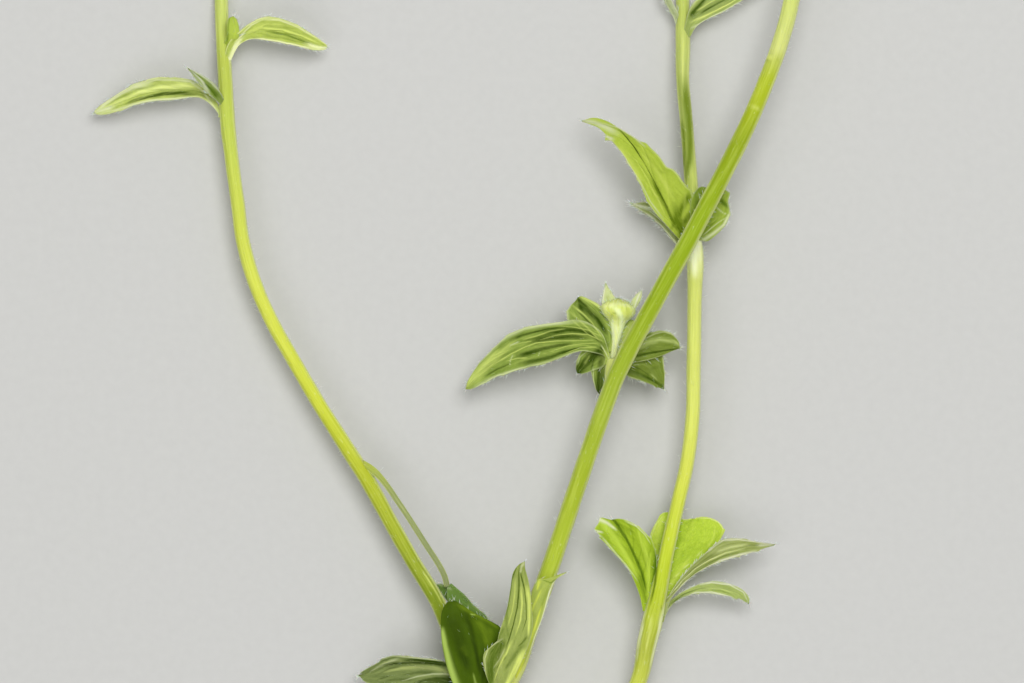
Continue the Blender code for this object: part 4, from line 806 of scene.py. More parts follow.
        ("D", 0.09, 0.6, ((24.75, 28.88), (25.62, 27.25), (26.25, 25.62)), -0.05),
        ("L", 0.38, 0.6, ((24, 28.5), (22.6, 31), (21.1, 33.1))),
        ("L", 0.33, 0.5, ((27.8, 27), (26, 30), (24.2, 32.2))),
        ("L", 0.15, 0.6, ((26.75, 24.75), (25.75, 26.88), (24.5, 29.25), (23, 31.75)), 0.06),
        ("P", 0.12, 0.7, ((26.62, 24.12), (25, 26.25), (23.88, 28.5), (22.62, 30.5)), 0.02),
        ("P", 0.12, 0.7, ((22.62, 30.5), (21.38, 32.38), (19.88, 34.12))),
        ("P", 0.12, 0.65, ((24.5, 33.12), (22.75, 34.5), (21, 35.56), (19.38, 36.12))),
        ("P", 0.5, 0.9, ((20.8, 34.8), (19.5, 35.6), (18, 36.2), (16.2, 36.5), (14.5, 36.5))),
        ("P", 0.25, 1, ((20.4, 34), (19.6, 34.4), (18.8, 34.8))),
    ),
    "thin_lobe": (
        ("D", 0.17, 0.6, ((29.25, 22), (27.75, 23.75), (26.25, 25)), -0.04),
        ("P", 0.17, 0.8, ((28.25, 22), (26.75, 23.69), (25, 25.06)), 0.03),
        ("P", 0.38, 0.75, ((26.5, 24.8), (25, 25.4), (23.5, 25.8), (21.8, 26.4))),
    ),
    "folded_stipule": (
        # The first two dark strokes paint the shade on the stipule's folded top and beside the stem.
        ("D", 0.88, 0.75, ((31.2, 28.8), (31, 27.2), (30.8, 25.5), (30.2, 23.2)), -0.03),
        ("D", 0.57, 1, ((32, 28.5), (32.9, 27.4), (33.8, 26.5), (34.8, 25.5)), -0.02),
        ("P", 0.11, 0.65, ((32.62, 26.25), (33.38, 25.5), (34.12, 24.88), (35.12, 24.5)), 0.05),
        ("P", 0.1, 0.65, ((31.62, 22.12), (32.62, 23), (33.62, 23.75), (34.88, 24.5)), 0.05),
        ("D", 0.1, 0.5, ((32.5, 23.25), (33.62, 24.25)), -0.05),
        ("P", 0.33, 0.85, ((30.8, 21), (31.8, 21.6), (33, 22.4), (34.2, 23.4), (35, 24.9)), 0.02),
    ),
    "grey_leaflet": (
        ("L", 0.38, 0.6, ((33, -17.6), (35, -16.9), (37.2, -16.5))),
        ("D", 0.33, 0.45, ((30.5, -19.9), (32.2, -19.1), (34, -18.6))),
        ("D", 0.14, 1, ((36.12, -17.56), (34.25, -18.06), (32.5, -18.88), (30.75, -20),
            (29.25, -21.38)), -0.12),
        ("L", 0.14, 0.9, ((36.75, -17.19), (34.5, -17.69), (32.5, -18.56), (30.75, -19.62), (28.75, -21.38),
            (27.12, -23.38)), 0.1),
        ("P", 0.15, 0.85, ((38.25, -17.38), (36, -17.94), (33.75, -18.62), (31.5, -19.88), (29.5, -21.19),
            (27.5, -23.38)), 0.04),
        ("P", 0.12, 0.75, ((34, -16.06), (36, -15.94), (38.25, -16.25), (40.25, -16.62))),
        ("D", 0.23, 0.5, ((35, -16.8), (33.2, -17.6), (31.5, -18.6))),
        ("P", 0.12, 0.6, ((32.25, -17.5), (33.25, -16.62), (34.25, -16.06))),
        ("P", 0.25, 0.7, ((38.5, -16.7), (40.5, -16.6))),
    ),
    "thin_leaflet": (
        ("P", 0.14, 0.9, ((26.75, -25.12), (28.75, -23.56), (30.75, -22.62), (32.75, -22.56),
            (34.75, -23)), 0.04),
        ("D", 0.12, 0.8, ((27.75, -23.94), (29.25, -22.81), (31, -22.19)), -0.06),
        ("P", 0.12, 0.8, ((31.25, -21.62), (32.75, -21.31), (35, -21.62), (36.75, -22.56), (37.38, -23.88))),
        ("L", 0.15, 0.7, ((32, -22), (33.75, -22.12), (35.5, -22.75))),
        ("D", 0.1, 0.5, ((32.5, -22.31), (34, -22.44), (35.5, -23)), -0.04),
    ),
    "top_leaf": (
        ("D", 0.5, 1, ((30, 49.5), (30.9, 50.5), (32, 51.8)), -0.08),
        ("D", 0.17, 0.9, ((31.5, 50), (33, 50.88), (34.62, 51.75)), -0.08),
        ("L", 0.2, 1, ((30.1, 48.8), (31.8, 49.5), (33.5, 50.3), (35.2, 51.2), (36.5, 52)), 0.1),
        ("L", 0.12, 0.7, ((30.88, 50.25), (32.25, 51.12), (33.75, 52)), 0.06),
        ("P", 0.17, 0.9, ((30.25, 48.06), (31.25, 48.56), (32.75, 49.44), (34.25, 50.12),
            (36, 51.19)), 0.02),
    ),
}
STEM_STROKES = {
    "left": (
        # This dark stroke paints the contact shade along the left stem's edge under its upper stipule.
        ("D", 0.12, 0.45, ((-27.94, 45.25), (-28, 47.25), (-28, 49.25), (-27.94, 50.75))),
        ("P", 0.15, 0.7, ((-27.38, 45), (-27.62, 43.5))),
        ("D", 0.15, 0.5, ((-2.38, -23.75), (-3.75, -21.5), (-5.5, -18.5))),
        ("D", 0.38, 0.6, ((-1.1, -25), (-1.8, -23.2), (-2.5, -22))),
        ("L", 0.12, 0.6, ((-1, -24), (-2.25, -21.75), (-3.75, -19.25))),
    ),
    "right": (
        # The first two dark strokes paint a shadow on the right stem below its top leaf; the light ones
        # beside them paint its lit right edge.
        ("D", 0.78, 1, ((29.2, 41.5), (29.6, 38.8), (29.9, 36.2), (30, 33.2), (29.9, 31.5),
            (29.5, 29.2)), -0.03),
        ("D", 0.33, 0.8, ((28.9, 36.5), (29.2, 34.8), (29.3, 32.8), (29.2, 30.2)), -0.02),
        ("L", 0.14, 0.8, ((30.44, 38), (30.75, 34), (30.88, 31.5), (30.94, 28.25))),
        ("L", 0.38, 0.4, ((30.2, 30.5), (30.4, 29), (30.4, 26.8))),
        ("P", 0.2, 1, ((31.6, 21.8), (31.1, 20.6), (30.5, 19.5), (30.2, 18.8)), 0.1),
        # This dark stroke paints the shade along the right stem's left edge beside the left leaflet.
        ("D", 0.25, 1, ((26.2, -15.2), (26, -17.5), (25.8, -19.5), (25.6, -21.8), (25.1, -24))),
        ("P", 0.15, 0.7, ((29.62, 21.5), (29.75, 19.25))),
        ("D", 0.1, 0.6, ((26.44, -24.25), (26.5, -25.25))),
        ("P", 0.17, 0.6, ((24.19, -26.25), (23.75, -28.5), (23.38, -31))),
        ("P", 0.17, 0.6, ((26.31, -26), (26, -28.5), (25.38, -30.5))),
        ("L", 0.2, 0.5, ((29.2, 47.8), (29.1, 44), (29.1, 39))),
        ("P", 0.23, 0.75, ((24.4, -24.8), (23.9, -26.2), (23.6, -28), (23.1, -30.2), (22.5, -33))),
        ("P", 0.23, 0.7, ((26.8, -24.2), (26.4, -25.8), (26.1, -27.5), (25.6, -29.5), (25, -32))),
        ("L", 0.3, 0.5, ((25.2, -25.5), (24.9, -27.5), (24.4, -29.8))),
        ("P", 0.88, 0.95, ((30, 23.8), (30.2, 21.8), (30.4, 20), (30.5, 18.5), (30.6, 17)), 0.1),
    ),
    "main": (
        ("L", 0.15, 0.5, ((39.12, 44.44), (40.12, 44.25), (41.12, 44.25)), 0.02),
        ("D", 0.12, 0.5, ((39.25, 44.06), (40.12, 43.88), (41, 43.88))),
        ("L", 0.16, 0.5, ((37.44, 38.12), (38, 37.94), (38.56, 37.75)), 0.02),
        ("L", 0.88, 1, ((7.5, -36.5), (8.2, -34), (8.8, -31.5), (9.2, -28.5))),
    ),
}
BUD_STROKES = (
    ("D", 0.15, 1, ((20.04, 11.25), (20.17, 11.75), (20.28, 12.23), (20.62, 12.4), (20.92, 12.12),
        (20.92, 11.62)), -0.08),
    ("P", 0.42, 1, ((20.4, 13.2), (21.1, 12.5), (21.5, 11.5), (21.4, 10.2), (21.1, 8.9), (20.8, 7.5)), 0.04),
    ("P", 0.2, 1, ((20.2, 11.8), (20.4, 10.2), (20.5, 8.8), (20.4, 7.5), (20, 6)), 0.05),
    # This dark stroke paints the shadow line between the funnel and the main stem.
    ("D", 0.15, 0.6, ((22.12, 11.25), (21.69, 10.25), (21.38, 9.25), (20.88, 8)), -0.03),
    # This pale stroke paints the highlight on the funnel.
    ("P", 0.17, 0.8, ((20.75, 10.75), (21, 9.5)), 0.05),
    ("D", 0.09, 0.5, ((21.04, 11.5), (21.09, 10.5), (21.19, 9.25)), -0.03),
    ("L", 0.5, 0.5, ((19.4, 13.2), (21, 13.6), (22.6, 13.1))),
    ("P", 0.15, 0.9, ((23.88, 15.25), (23.31, 13.88), (22.88, 12.75))),
    ("D", 0.07, 0.5, ((23.81, 15), (23.5, 13.88), (23.12, 12.88)), -0.02),
    ("P", 0.1, 0.6, ((19.44, 15.75), (19.2, 14.5), (19.12, 13.5))),
    ("D", 0.3, 0.5, ((19.6, 14.6), (19.8, 13.8))),
)

# Skin colours of each stem by level, from the cut end (0) to the tops (1): level, red, green, blue
STEM_STOPS = {
    "main": (
        (0, 150, 165, 70), (0.19, 190, 200, 70), (0.22, 228, 234, 70), (0.24, 218, 224, 66),
        (0.3, 178, 194, 64), (0.34, 174, 192, 56), (0.43, 163, 181, 46), (0.51, 159, 179, 54),
        (0.62, 147, 170, 30), (0.71, 147, 172, 28), (0.79, 146, 165, 28), (0.84, 172, 187, 36),
        (0.86, 177, 192, 48), (0.88, 188, 198, 92), (0.89, 208, 215, 128), (0.93, 204, 214, 120),
    ),
    "left": (
        (0.18, 150, 164, 60), (0.25, 130, 148, 34), (0.3, 134, 152, 36), (0.35, 156, 170, 42),
        (0.43, 178, 188, 46), (0.51, 204, 212, 64), (0.62, 212, 219, 84), (0.73, 200, 211, 86),
        (0.81, 189, 204, 86), (0.88, 184, 197, 82), (0.93, 196, 209, 110),
    ),
    "right": (
        (0.08, 170, 180, 90), (0.21, 194, 203, 80), (0.25, 170, 180, 64), (0.28, 178, 192, 56),
        (0.31, 182, 200, 44), (0.36, 196, 212, 54), (0.43, 212, 219, 86), (0.51, 215, 222, 110),
        (0.62, 208, 216, 112), (0.64, 206, 214, 112), (0.66, 226, 233, 158), (0.67, 240, 246, 186),
        (0.69, 236, 244, 176), (0.74, 184, 198, 98), (0.81, 164, 178, 92), (0.88, 182, 194, 106),
        (0.94, 186, 199, 98),
    ),
    "stalk": (
        (0.3, 136, 146, 100), (0.34, 144, 153, 106), (0.41, 152, 162, 104), (0.45, 176, 188, 66),
    ),
    "pedicel": (
        (0.51, 190, 204, 90), (0.56, 214, 222, 130), (0.58, 226, 232, 150),
    ),
}

# Curves

def smooth_curve(points, t):
    """Point at t, from 0 to 1, on a curve through the points, by share of their total length."""
    points = [Vector(p) for p in points]
    runs = [(b.xyz - a.xyz).length for a, b in zip(points, points[1:])]
    reach = t * sum(runs)
    i = 0
    while i < len(runs) - 1 and reach > runs[i]:
        reach -= runs[i]
        i += 1
    u = min(1.0, reach / runs[i])
    p1, p2 = points[i], points[i + 1]
    p0 = points[i - 1] if i else p1 * 2 - p2
    p3 = points[i + 2] if i + 2 < len(points) else p2 * 2 - p1
    slope1 = (p2 - p0) / 2
    slope2 = (p3 - p1) / 2
    return (p1 * (2 * u**3 - 3 * u**2 + 1) + slope1 * (u**3 - 2 * u**2 + u)
            + p2 * (3 * u**2 - 2 * u**3) + slope2 * (u**3 - u**2))


def direction_at(points, t):
    """Unit vector along the curve at t."""
    behind = smooth_curve(points, max(0, t - SLOPE_STEP))
    return (smooth_curve(points, min(1, t + SLOPE_STEP)).xyz - behind.xyz).normalized()


def length(points):
    return sum((Vector(b[:3]) - Vector(a[:3])).length for a, b in zip(points, points[1:]))


def across(direction):
    """Unit vector in the plan, a quarter turn left of the direction."""
    return Vector((-direction.y, direction.x, 0)).normalized()


def stem_frame(points, t):
    """Point and radius of a stem at t, and its unit vectors ahead, to the right and up from it."""
    here = smooth_curve(points, t)
    ahead = direction_at(points, t)
    side = -across(ahead)
    return here.xyz, here.w, ahead, side, side.cross(ahead).normalized()


def ease(x, low, high):
    """0 below low, 1 above high, and smooth between, for numbers and arrays."""
    x = np.clip((x - low) / (high - low), 0.0, 1.0)
    return x * x * (3 - 2 * x)


# Marks drawn in the plan: veins, folds and patches, with painted shade and painted highlights among them

def stroke_mask(xy, stroke):
    """How much of a stroke each plan point gets. The stroke thins and fades to its ends."""
    best = np.zeros(len(xy))
    points = np.array(stroke.points, float)
    runs = np.linalg.norm(np.diff(points, axis=0), axis=1)
    total = runs.sum()
    start = 0.0
    for a, b, run in zip(points, points[1:], runs):
        way = b - a
        u = np.clip(((xy - a) @ way) / (run * run), 0, 1)
        away = np.linalg.norm(xy - a - u[:, None] * way, axis=1)
        share = (start + u * run) / total
        half = stroke.half * (1 - (1 - STROKE_END) * share)
        fade = ease(share, *STROKE_START) * (1 - ease(share, *STROKE_STOP))
        best = np.maximum(best, fade * np.exp(-((away / half) ** STROKE_EDGE) * STROKE_SOFTNESS))
        start += run
    return best * stroke.amount


def paint(points, strokes):
    """Light marks (painted highlights and lighter lines), dark marks (painted shade and darker lines) and
    pale marks of each point as columns, and the relief that they raise.
    """
    xy = np.array([(p.x, p.y) for p in points])
    marks = np.zeros((len(xy), 3))
    relief = np.zeros(len(xy))
    for stroke in (Stroke(*parts) for parts in strokes):
        mask = stroke_mask(xy, stroke)
        column = "LDP".index(stroke.kind)
        marks[:, column] = 1 - (1 - marks[:, column]) * (1 - mask)
        relief += mask * stroke.relief / stroke.amount
    return marks, relief


# Meshes

class Shape:
    """Points and faces of one piece, gathered in millimetres, with its two vectors of marks."""

    def __init__(self):
        self.points, self.faces, self.slots = [], [], []
        self.place, self.marks = [], []

    def add(self, points, faces, place, marks, slot=0):
        base = len(self.points)
        self.points += points
        self.faces += [tuple(base + i for i in face) for face in faces]
        self.slots += [slot] * len(faces)
        self.place += place
        self.marks += marks

    def make(self, name, node, slot, finishes):
        """Turns the shape into an object that rides on the model and may stand for a node."""
        mesh = bpy.data.meshes.new(name)
        mesh.from_pydata([Vector(p) * MM for p in self.points], [], self.faces)
        for finish in finishes:
            mesh.materials.append(finish)
        mesh.polygons.foreach_set("material_index", self.slots)
        for title, values in (("place", self.place), ("marks", self.marks)):
            made = mesh.attributes.new(title, "FLOAT_VECTOR", "POINT")
            made.data.foreach_set("vector", np.array(values, np.float32).ravel())
        mesh.validate()
        mesh.shade_smooth()
        mesh.update()
        piece = bpy.data.objects.new(name, mesh)
        bpy.context.scene.collection.objects.link(piece)
        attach(piece, "root")
        if node:
            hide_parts(node)


def tube_faces(rows, sides):
    """Faces of a tube whose points go round it ring by ring."""
    faces = []
    for low in range(0, rows * sides, sides):
        for i in range(sides):
            j = (i + 1) % sides
            faces.append((low + i, low + sides + i, low + sides + j, low + j))
    return faces


def add_hair(shape, root, way, reach, radius, bend, white=1.0):
    """One tapering three-sided hair with a bend in it, whiter towards its tip."""
    way = way.normalized()
    side = way.orthogonal().normalized()
    other = way.cross(side)
    mid = root + way * reach / 2 + bend / 4
    tip = root + way * reach + bend
    for p in (mid, tip):
        p.z = max(HAIR_FLOOR, min(HAIR_TOP, p.z))
    points = []
    n = HAIR_SIDES
    for centre, size in ((root - way * radius, radius), (mid, radius * HAIR_TAPER)):
        for i in range(n):
            turn = 2 * pi * i / n
            points.append(centre + size * (side * cos(turn) + other * sin(turn)))
    points.append(tip)
    faces = [(i, (i + 1) % n, n + (i + 1) % n, n + i) for i in range(n)]
    faces += [(n + i, n + (i + 1) % n, 2 * n) for i in range(n)] + [tuple(reversed(range(n)))]
    along = [(0, 0, 0)] * n + [(0, white / 2, 0)] * n + [(0, white, 0)]
    shape.add(points, faces, along, along)


def scatter(draw, plan, rise):
    """Random vector with usual sizes in the plan and in height. A rise of 0 draws no height."""
    return Vector((draw.gauss(0, plan), draw.gauss(0, plan), draw.gauss(0, rise) if rise else 0))


# Leaves

class Grid:
    """Points of a leaf's middle surface, row by row from base to tip."""

    def __init__(self, points, rows, columns):
        self.points, self.rows, self.columns = points, rows, columns

    def at(self, r, c):
        """Point in row r and column c, or the nearest that there is."""
        r = max(0, min(self.rows - 1, r))
        c = max(0, min(self.columns - 1, c))
        return self.points[r * self.columns + c]

    def ahead(self, r, c):
        return self.at(r + 1, c) - self.at(r - 1, c)

    def normal(self, r, c):
        """Unit vector out of the surface, on its upper side."""
        normal = (self.at(r, c + 1) - self.at(r, c - 1)).cross(self.ahead(r, c))
        if normal.length <= LEAST_AREA:
            return Vector((0, 0, 1))
        normal.normalize()
        return -normal if normal.z < 0 else normal

    def stance(self, r, c):
        """Point in row r and column c, and unit vectors ahead and outward from the rib."""
        here, ahead = self.at(r, c), self.ahead(r, c)
        out = here - self.at(r, self.columns // 2)
        ahead = ahead.normalized() if ahead.length else Vector((1, 0, 0))
        out = out.normalized() if out.length > LEAST_LENGTH else across(ahead)
        return here, ahead, out

    def sheet_faces(self):
        """Faces of a thin closed sheet: its top, its underside and the rim between them."""
        rows, columns = self.rows, self.columns
        under = rows * columns
        faces = []
        for r in range(rows - 1):
            for a in range(r * columns, (r + 1) * columns - 1):
                b, d, e = a + 1, a + columns, a + columns + 1
                faces.append((a, b, e, d))
                faces.append((under + a, under + d, under + e, under + b))
        rim = [*range(columns), *range(2 * columns - 1, under, columns),
               *range(under - 2, under - columns - 1, -1), *range(under - 2 * columns, 0, -columns)]
        return faces + [(b, a, under + a, under + b) for a, b in zip(rim, rim[1:] + rim[:1])]


def seat_of(blade):
    """Where the blade starts: at its own point, or in the skin of its stem."""
    if blade.stem is None:
        return Vector(blade.seat)
    points = STEMS[blade.stem]
    steps = round(length(points) / SEAT_SEARCH_STEP)
    near = min((i / steps for i in range(steps + 1)),
               key=lambda t: (smooth_curve(points, t).xy - Vector(blade.seat)).length)
    here = smooth_curve(points, near)
    out = Vector(blade.rib[0]) - here.xyz
    out -= out.project(direction_at(points, near))
    return here.xyz + out.normalized() * here.w * SEAT_DEPTH


def tooth_reach(t, teeth, side):
    """How far the teeth of one side push the edge out at t."""
    reach = 0.0
    for tooth_side, place, height, width in teeth:
        x = (t - place) / width
        if tooth_side == side and -1 < x <= 0:
            reach += height * (1 + x) ** TOOTH_CURVE
        elif tooth_side == side and 0 < x < TOOTH_DROP:
            reach += height * (1 - x / TOOTH_DROP)
    return reach


def blade_grid(blade, look):
    """Middle surface of the blade, with its share of the length, side and half width at each point."""
    start, tip = seat_of(blade), Vector(blade.rib[-1])
    first = across(Vector(blade.rib[0]) - start) * look.base
    last = across(tip - Vector(blade.rib[-2])) * TIP_HALF_WIDTH
    rib = [start, *blade.rib]
    flat_start, flat_tip = Vector((start.x, start.y, 0)), Vector((tip.x, tip.y, 0))
    left = [flat_start + first, *blade.left, flat_tip + last]
    right = [flat_start - first, *blade.right, flat_tip - last]
    rows = max(LEAST_ROWS, round(length(rib) / ROW_STEP))
    wide = max((Vector(p[:2]) - smooth_curve(rib, i / WIDTH_CHECKS).xy).length
               for edge in (left, right) for i, p in enumerate(edge))
    columns = 2 * max(LEAST_HALF, round(wide / COLUMN_STEP))
    points, share = [], []
    for row in range(rows + 1):
        t = row / rows
        middle = smooth_curve(rib, t)
        for column in range(columns + 1):
            s = 2 * column / columns - 1
            bow = abs(s)
            outline, side, shift = (left, "L", RIPPLE_SHIFT) if s < 0 else (right, "R", 0)
            edge = smooth_curve(outline, t)
            lift = edge.z
            reach = Vector((edge.x - middle.x, edge.y - middle.y, 0))
            width = reach.length
            full = min(1, width)
            if width > LEAST_LENGTH:
                push = tooth_reach(t, blade.teeth, side) + EDGE_OUT
                reach += reach.normalized() * push * full
            height = lift * bow ** look.fold - look.cup * bow * bow * (1 - bow) * 4 * full
            ripple = look.ripple * bow ** 2 * full * sin(t * RIPPLES * 2 * pi + shift)
            points.append(middle + reach * bow + Vector((0, 0, height + ripple)))
            share.append((t, s, width))
    return Grid(points, rows + 1, columns + 1), share


def side_veins(share, look):
    """Faint side veins that leave the rib and bend towards the tip, and the puffed skin between."""
    if not look.veins:
        return np.zeros(len(share)), np.zeros(len(share))
    t, s, wide = np.array(share).T
    s = np.abs(s)
    phase = (t - look.sweep * s ** VEIN_BEND) * look.veins
    away = np.abs(phase - np.round(phase))
    line = np.exp(-(away / look.veins / look.vein_width) ** 2)
    line = line * ease(s, *VEIN_START) * (1 - ease(s, *VEIN_STOP))
    puff = np.sin(away * pi) * ease(wide, *PUFF_WIDTHS) * (1 - s ** 4)
    return line * ease(wide, *VEIN_WIDTHS) * ease(t, *VEIN_BASE), puff


def add_blade(shape, blade, look, strokes, thickness, slot=0):
    """A thin leaf with veins sunk in its face and puffed tissue between them."""
    grid, share = blade_grid(blade, look)
    marks, relief = paint(grid.points, strokes)
    veins, puff = side_veins(share, look)
    run = length(blade.rib)
    layer = blade.rib[0][2]
    folds = np.array([noise.noise(Vector((s * look.pleats, t * run * PLEAT_RUN, layer)))
                      for t, s, _ in share])
    rise = relief - veins * look.vein_depth + puff * look.quilt + folds * look.pleat
    tops, unders = [], []
    for i, (here, (_, s, _)) in enumerate(zip(grid.points, share)):
        normal = grid.normal(*divmod(i, grid.columns))
        fine = noise.noise(here * UNEVEN_SCALE) * look.uneven
        half = thickness * (1 - EDGE_THINNING * abs(s) ** 3) / 2
        lift = (rise[i] + fine) * min(1, EDGE_CALM * (1 - abs(s)))
        tops.append(here + normal * (half + lift))
        unders.append(here + normal * (lift - half))
    for p in tops + unders:
        p.z = max(LEAF_FLOOR, min(LEAF_TOP, p.z))
    place, painted_shading = [], []
    for (t, s, width), (light, dark, pale), vein, fold in zip(share, marks, veins, folds):
        place.append((s * width, t * run, abs(s)))
        # Fold crests get painted highlight and fold hollows painted shade; veins get their own lighter or
        # darker colour.
        crest, bright = fold * look.crest, vein * look.vein_light
        painted_shading.append((light + max(0, crest) + max(0, bright),
                     dark + max(0, -crest) + max(0, -bright), pale))
    shape.add(tops + unders, grid.sheet_faces(), place * 2, painted_shading * 2, slot)
    return grid


def leaf_hairs(shape, grid, look, sides, radius, draw):
    """Hairs of one blade: on its edges by the share of each side, on its face, and at its tip."""
    edge_length = length([grid.at(r, 0) for r in range(grid.rows)])
    for _ in range(round(look.edge_hairs * edge_length * sum(sides))):
        r = round((grid.rows - 1) * draw.uniform(EDGE_HAIR_START, 1))
        c = 0 if draw.uniform(0, sum(sides)) < sides[0] else grid.columns - 1
        here, ahead, out = grid.stance(r, c)
        way = out * draw.uniform(*EDGE_HAIR.out) + ahead * draw.uniform(*EDGE_HAIR.ahead)
        way.z += draw.uniform(*EDGE_HAIR.up)
        bend = scatter(draw, *EDGE_HAIR.bend)
        reach = look.hair * draw.uniform(*EDGE_HAIR.reach)
        add_hair(shape, here, way, reach, radius * draw.uniform(*EDGE_HAIR.radius), bend)
    face_count = round(look.face_hairs * grid.rows * grid.columns * ROW_STEP * COLUMN_STEP)
    for _ in range(face_count):
        r, c = draw.randrange(1, grid.rows), draw.randrange(1, grid.columns - 1)
        here, ahead, out = grid.stance(r, c)
        way = ahead * draw.uniform(*FACE_HAIR.ahead) + out * draw.uniform(*FACE_HAIR.out)
        way.z += draw.uniform(*FACE_HAIR.up)
        root = here + Vector((0, 0, LEAF_THICKNESS / 2))
        bend = scatter(draw, *FACE_HAIR.bend)
        reach = look.hair * draw.uniform(*FACE_HAIR.reach)
        thin = radius * draw.uniform(*FACE_HAIR.radius)
        add_hair(shape, root, way, reach, thin, bend, FACE_HAIR_WHITE)
    tip, ahead, _ = grid.stance(grid.rows - 1, grid.columns // 2)
    for _ in range(look.tip_hairs):
        way = ahead + scatter(draw, *TIP_SPREAD)
        bend = scatter(draw, *TIP_HAIR.bend)
        root = tip - ahead * draw.uniform(0, TIP_TUFT)
        reach = look.tip_hair * draw.uniform(*TIP_HAIR.reach)
        add_hair(shape, root, way, reach, radius * draw.uniform(*TIP_HAIR.radius), bend)


# Stems

def cut_end(shape, ring, along, level, slot, flip):
    """Flat end of a stem, in rings that shrink to its centre, with no marks."""
    n = len(ring)
    centre = sum(ring, Vector()) / n
    points, place = [], []
    for share in CUT_RINGS:
        for i, p in enumerate(ring):
            turn = 2 * pi * i / n
            points.append(centre + (p - centre) * share)
            place.append((cos(turn) * share * CUT_EDGE, along, sin(turn) * share * CUT_EDGE))
    faces = [(a, d, c, b) for a, b, c, d in tube_faces(len(CUT_RINGS) - 1, n)]
    faces.append(tuple(range(len(points) - n, len(points))))
    if flip:
        faces = [face[::-1] for face in faces]
    shape.add(points, faces, place, [(0.0, 0.0, level)] * len(points), slot)


def add_stem(shape, name, slot, rib_depth):
    """One stem as a fine ribbed tube with flared joints and pale cut ends."""
    points = STEMS[name]
    total = length(points)
    rows = round(total / STEM_STEP)
    rings, place, ways = [], [], []
    for row in range(rows + 1):
        here, radius, _, side, upward = stem_frame(points, row / rows)
        along = row / rows * total
        joint = FLARE * exp(-along / FLARE_LENGTH) if name in JOINED else 0
        for i in range(STEM_SIDES):
            turn = 2 * pi * i / STEM_SIDES
            way = side * cos(turn) + upward * sin(turn)
            bump = noise.noise(here * BUMP_ALONG + way * BUMP_AROUND) * BUMP_DEPTH
            rib = rib_depth * cos(RIBS * turn + along * RIB_TWIST)
            p = here + way * radius * (1 + joint + bump + rib)
            p.z = max(0.0, p.z)
            rings.append(p)
            place.append((cos(turn), along, sin(turn)))
            ways.append(way)
    marks, relief = paint(rings, STEM_STROKES.get(name, ()))
    painted_shading = []
    for p, way, (light, dark, pale), lift in zip(rings, ways, marks, relief):
        facing = max(0.0, way.z)
        p += way * lift * facing
        p.z = max(0.0, p.z)
        # Painted shade and highlights from the dark and light marks, and the pale marks, show only on the
        # upper side.
        keep = min(1.0, facing * MARK_FACING)
        painted_shading.append(((light - dark) * keep, pale * keep, (p.y + PLAN_HALF) / (2 * PLAN_HALF)))
    shape.add(rings, tube_faces(rows, STEM_SIDES), place, painted_shading, slot)
    for first, flip in ((0, False), (rows * STEM_SIDES, True)):
        ring = rings[first:first + STEM_SIDES]
        cut_end(shape, ring, place[first][1], painted_shading[first][2], slot, flip)


def stem_hairs(shape, name, hair_length, radius, draw):
    """Hairs all round one stem, fewer where it faces the camera, and the collar on the right stem."""
    points = STEMS[name]
    middle_radius = points[len(points) // 2][3]
    count = round(length(points) * middle_radius * 2 * pi * STEM_HAIRS)
    places = [draw.uniform(*STEM_HAIR_SPAN) for _ in range(count)]
    if name == COLLAR_STEM:
        places += [draw.gauss(COLLAR_PLACE, COLLAR_SPREAD) for _ in range(COLLAR_HAIRS)]
    for t in places:
        here, stem_radius, ahead, side, upward = stem_frame(points, t)
        turn = draw.uniform(*STEM_HAIR_TURNS)
        way = side * cos(turn) + upward * sin(turn)
        root = here + way * stem_radius * STEM_HAIR_ROOT
        if root.z < STEM_HAIR_LOWEST:
            continue
        lean = way * draw.uniform(*STEM_HAIR.out) + ahead * draw.uniform(*STEM_HAIR.ahead)
        reach = hair_length * draw.choice(STEM_HAIR_MIX) * draw.uniform(*STEM_HAIR.reach)
        bend = scatter(draw, *STEM_HAIR.bend)
        facing = max(0.0, way.z)
        if draw.random() < facing * FACING_GONE:
            continue
        thin = radius * draw.uniform(*STEM_HAIR.radius) * (1 - facing * FACING_THIN)
        add_hair(shape, root, lean, reach, thin, bend, 1 - facing * FACING_GREEN)


# The bud

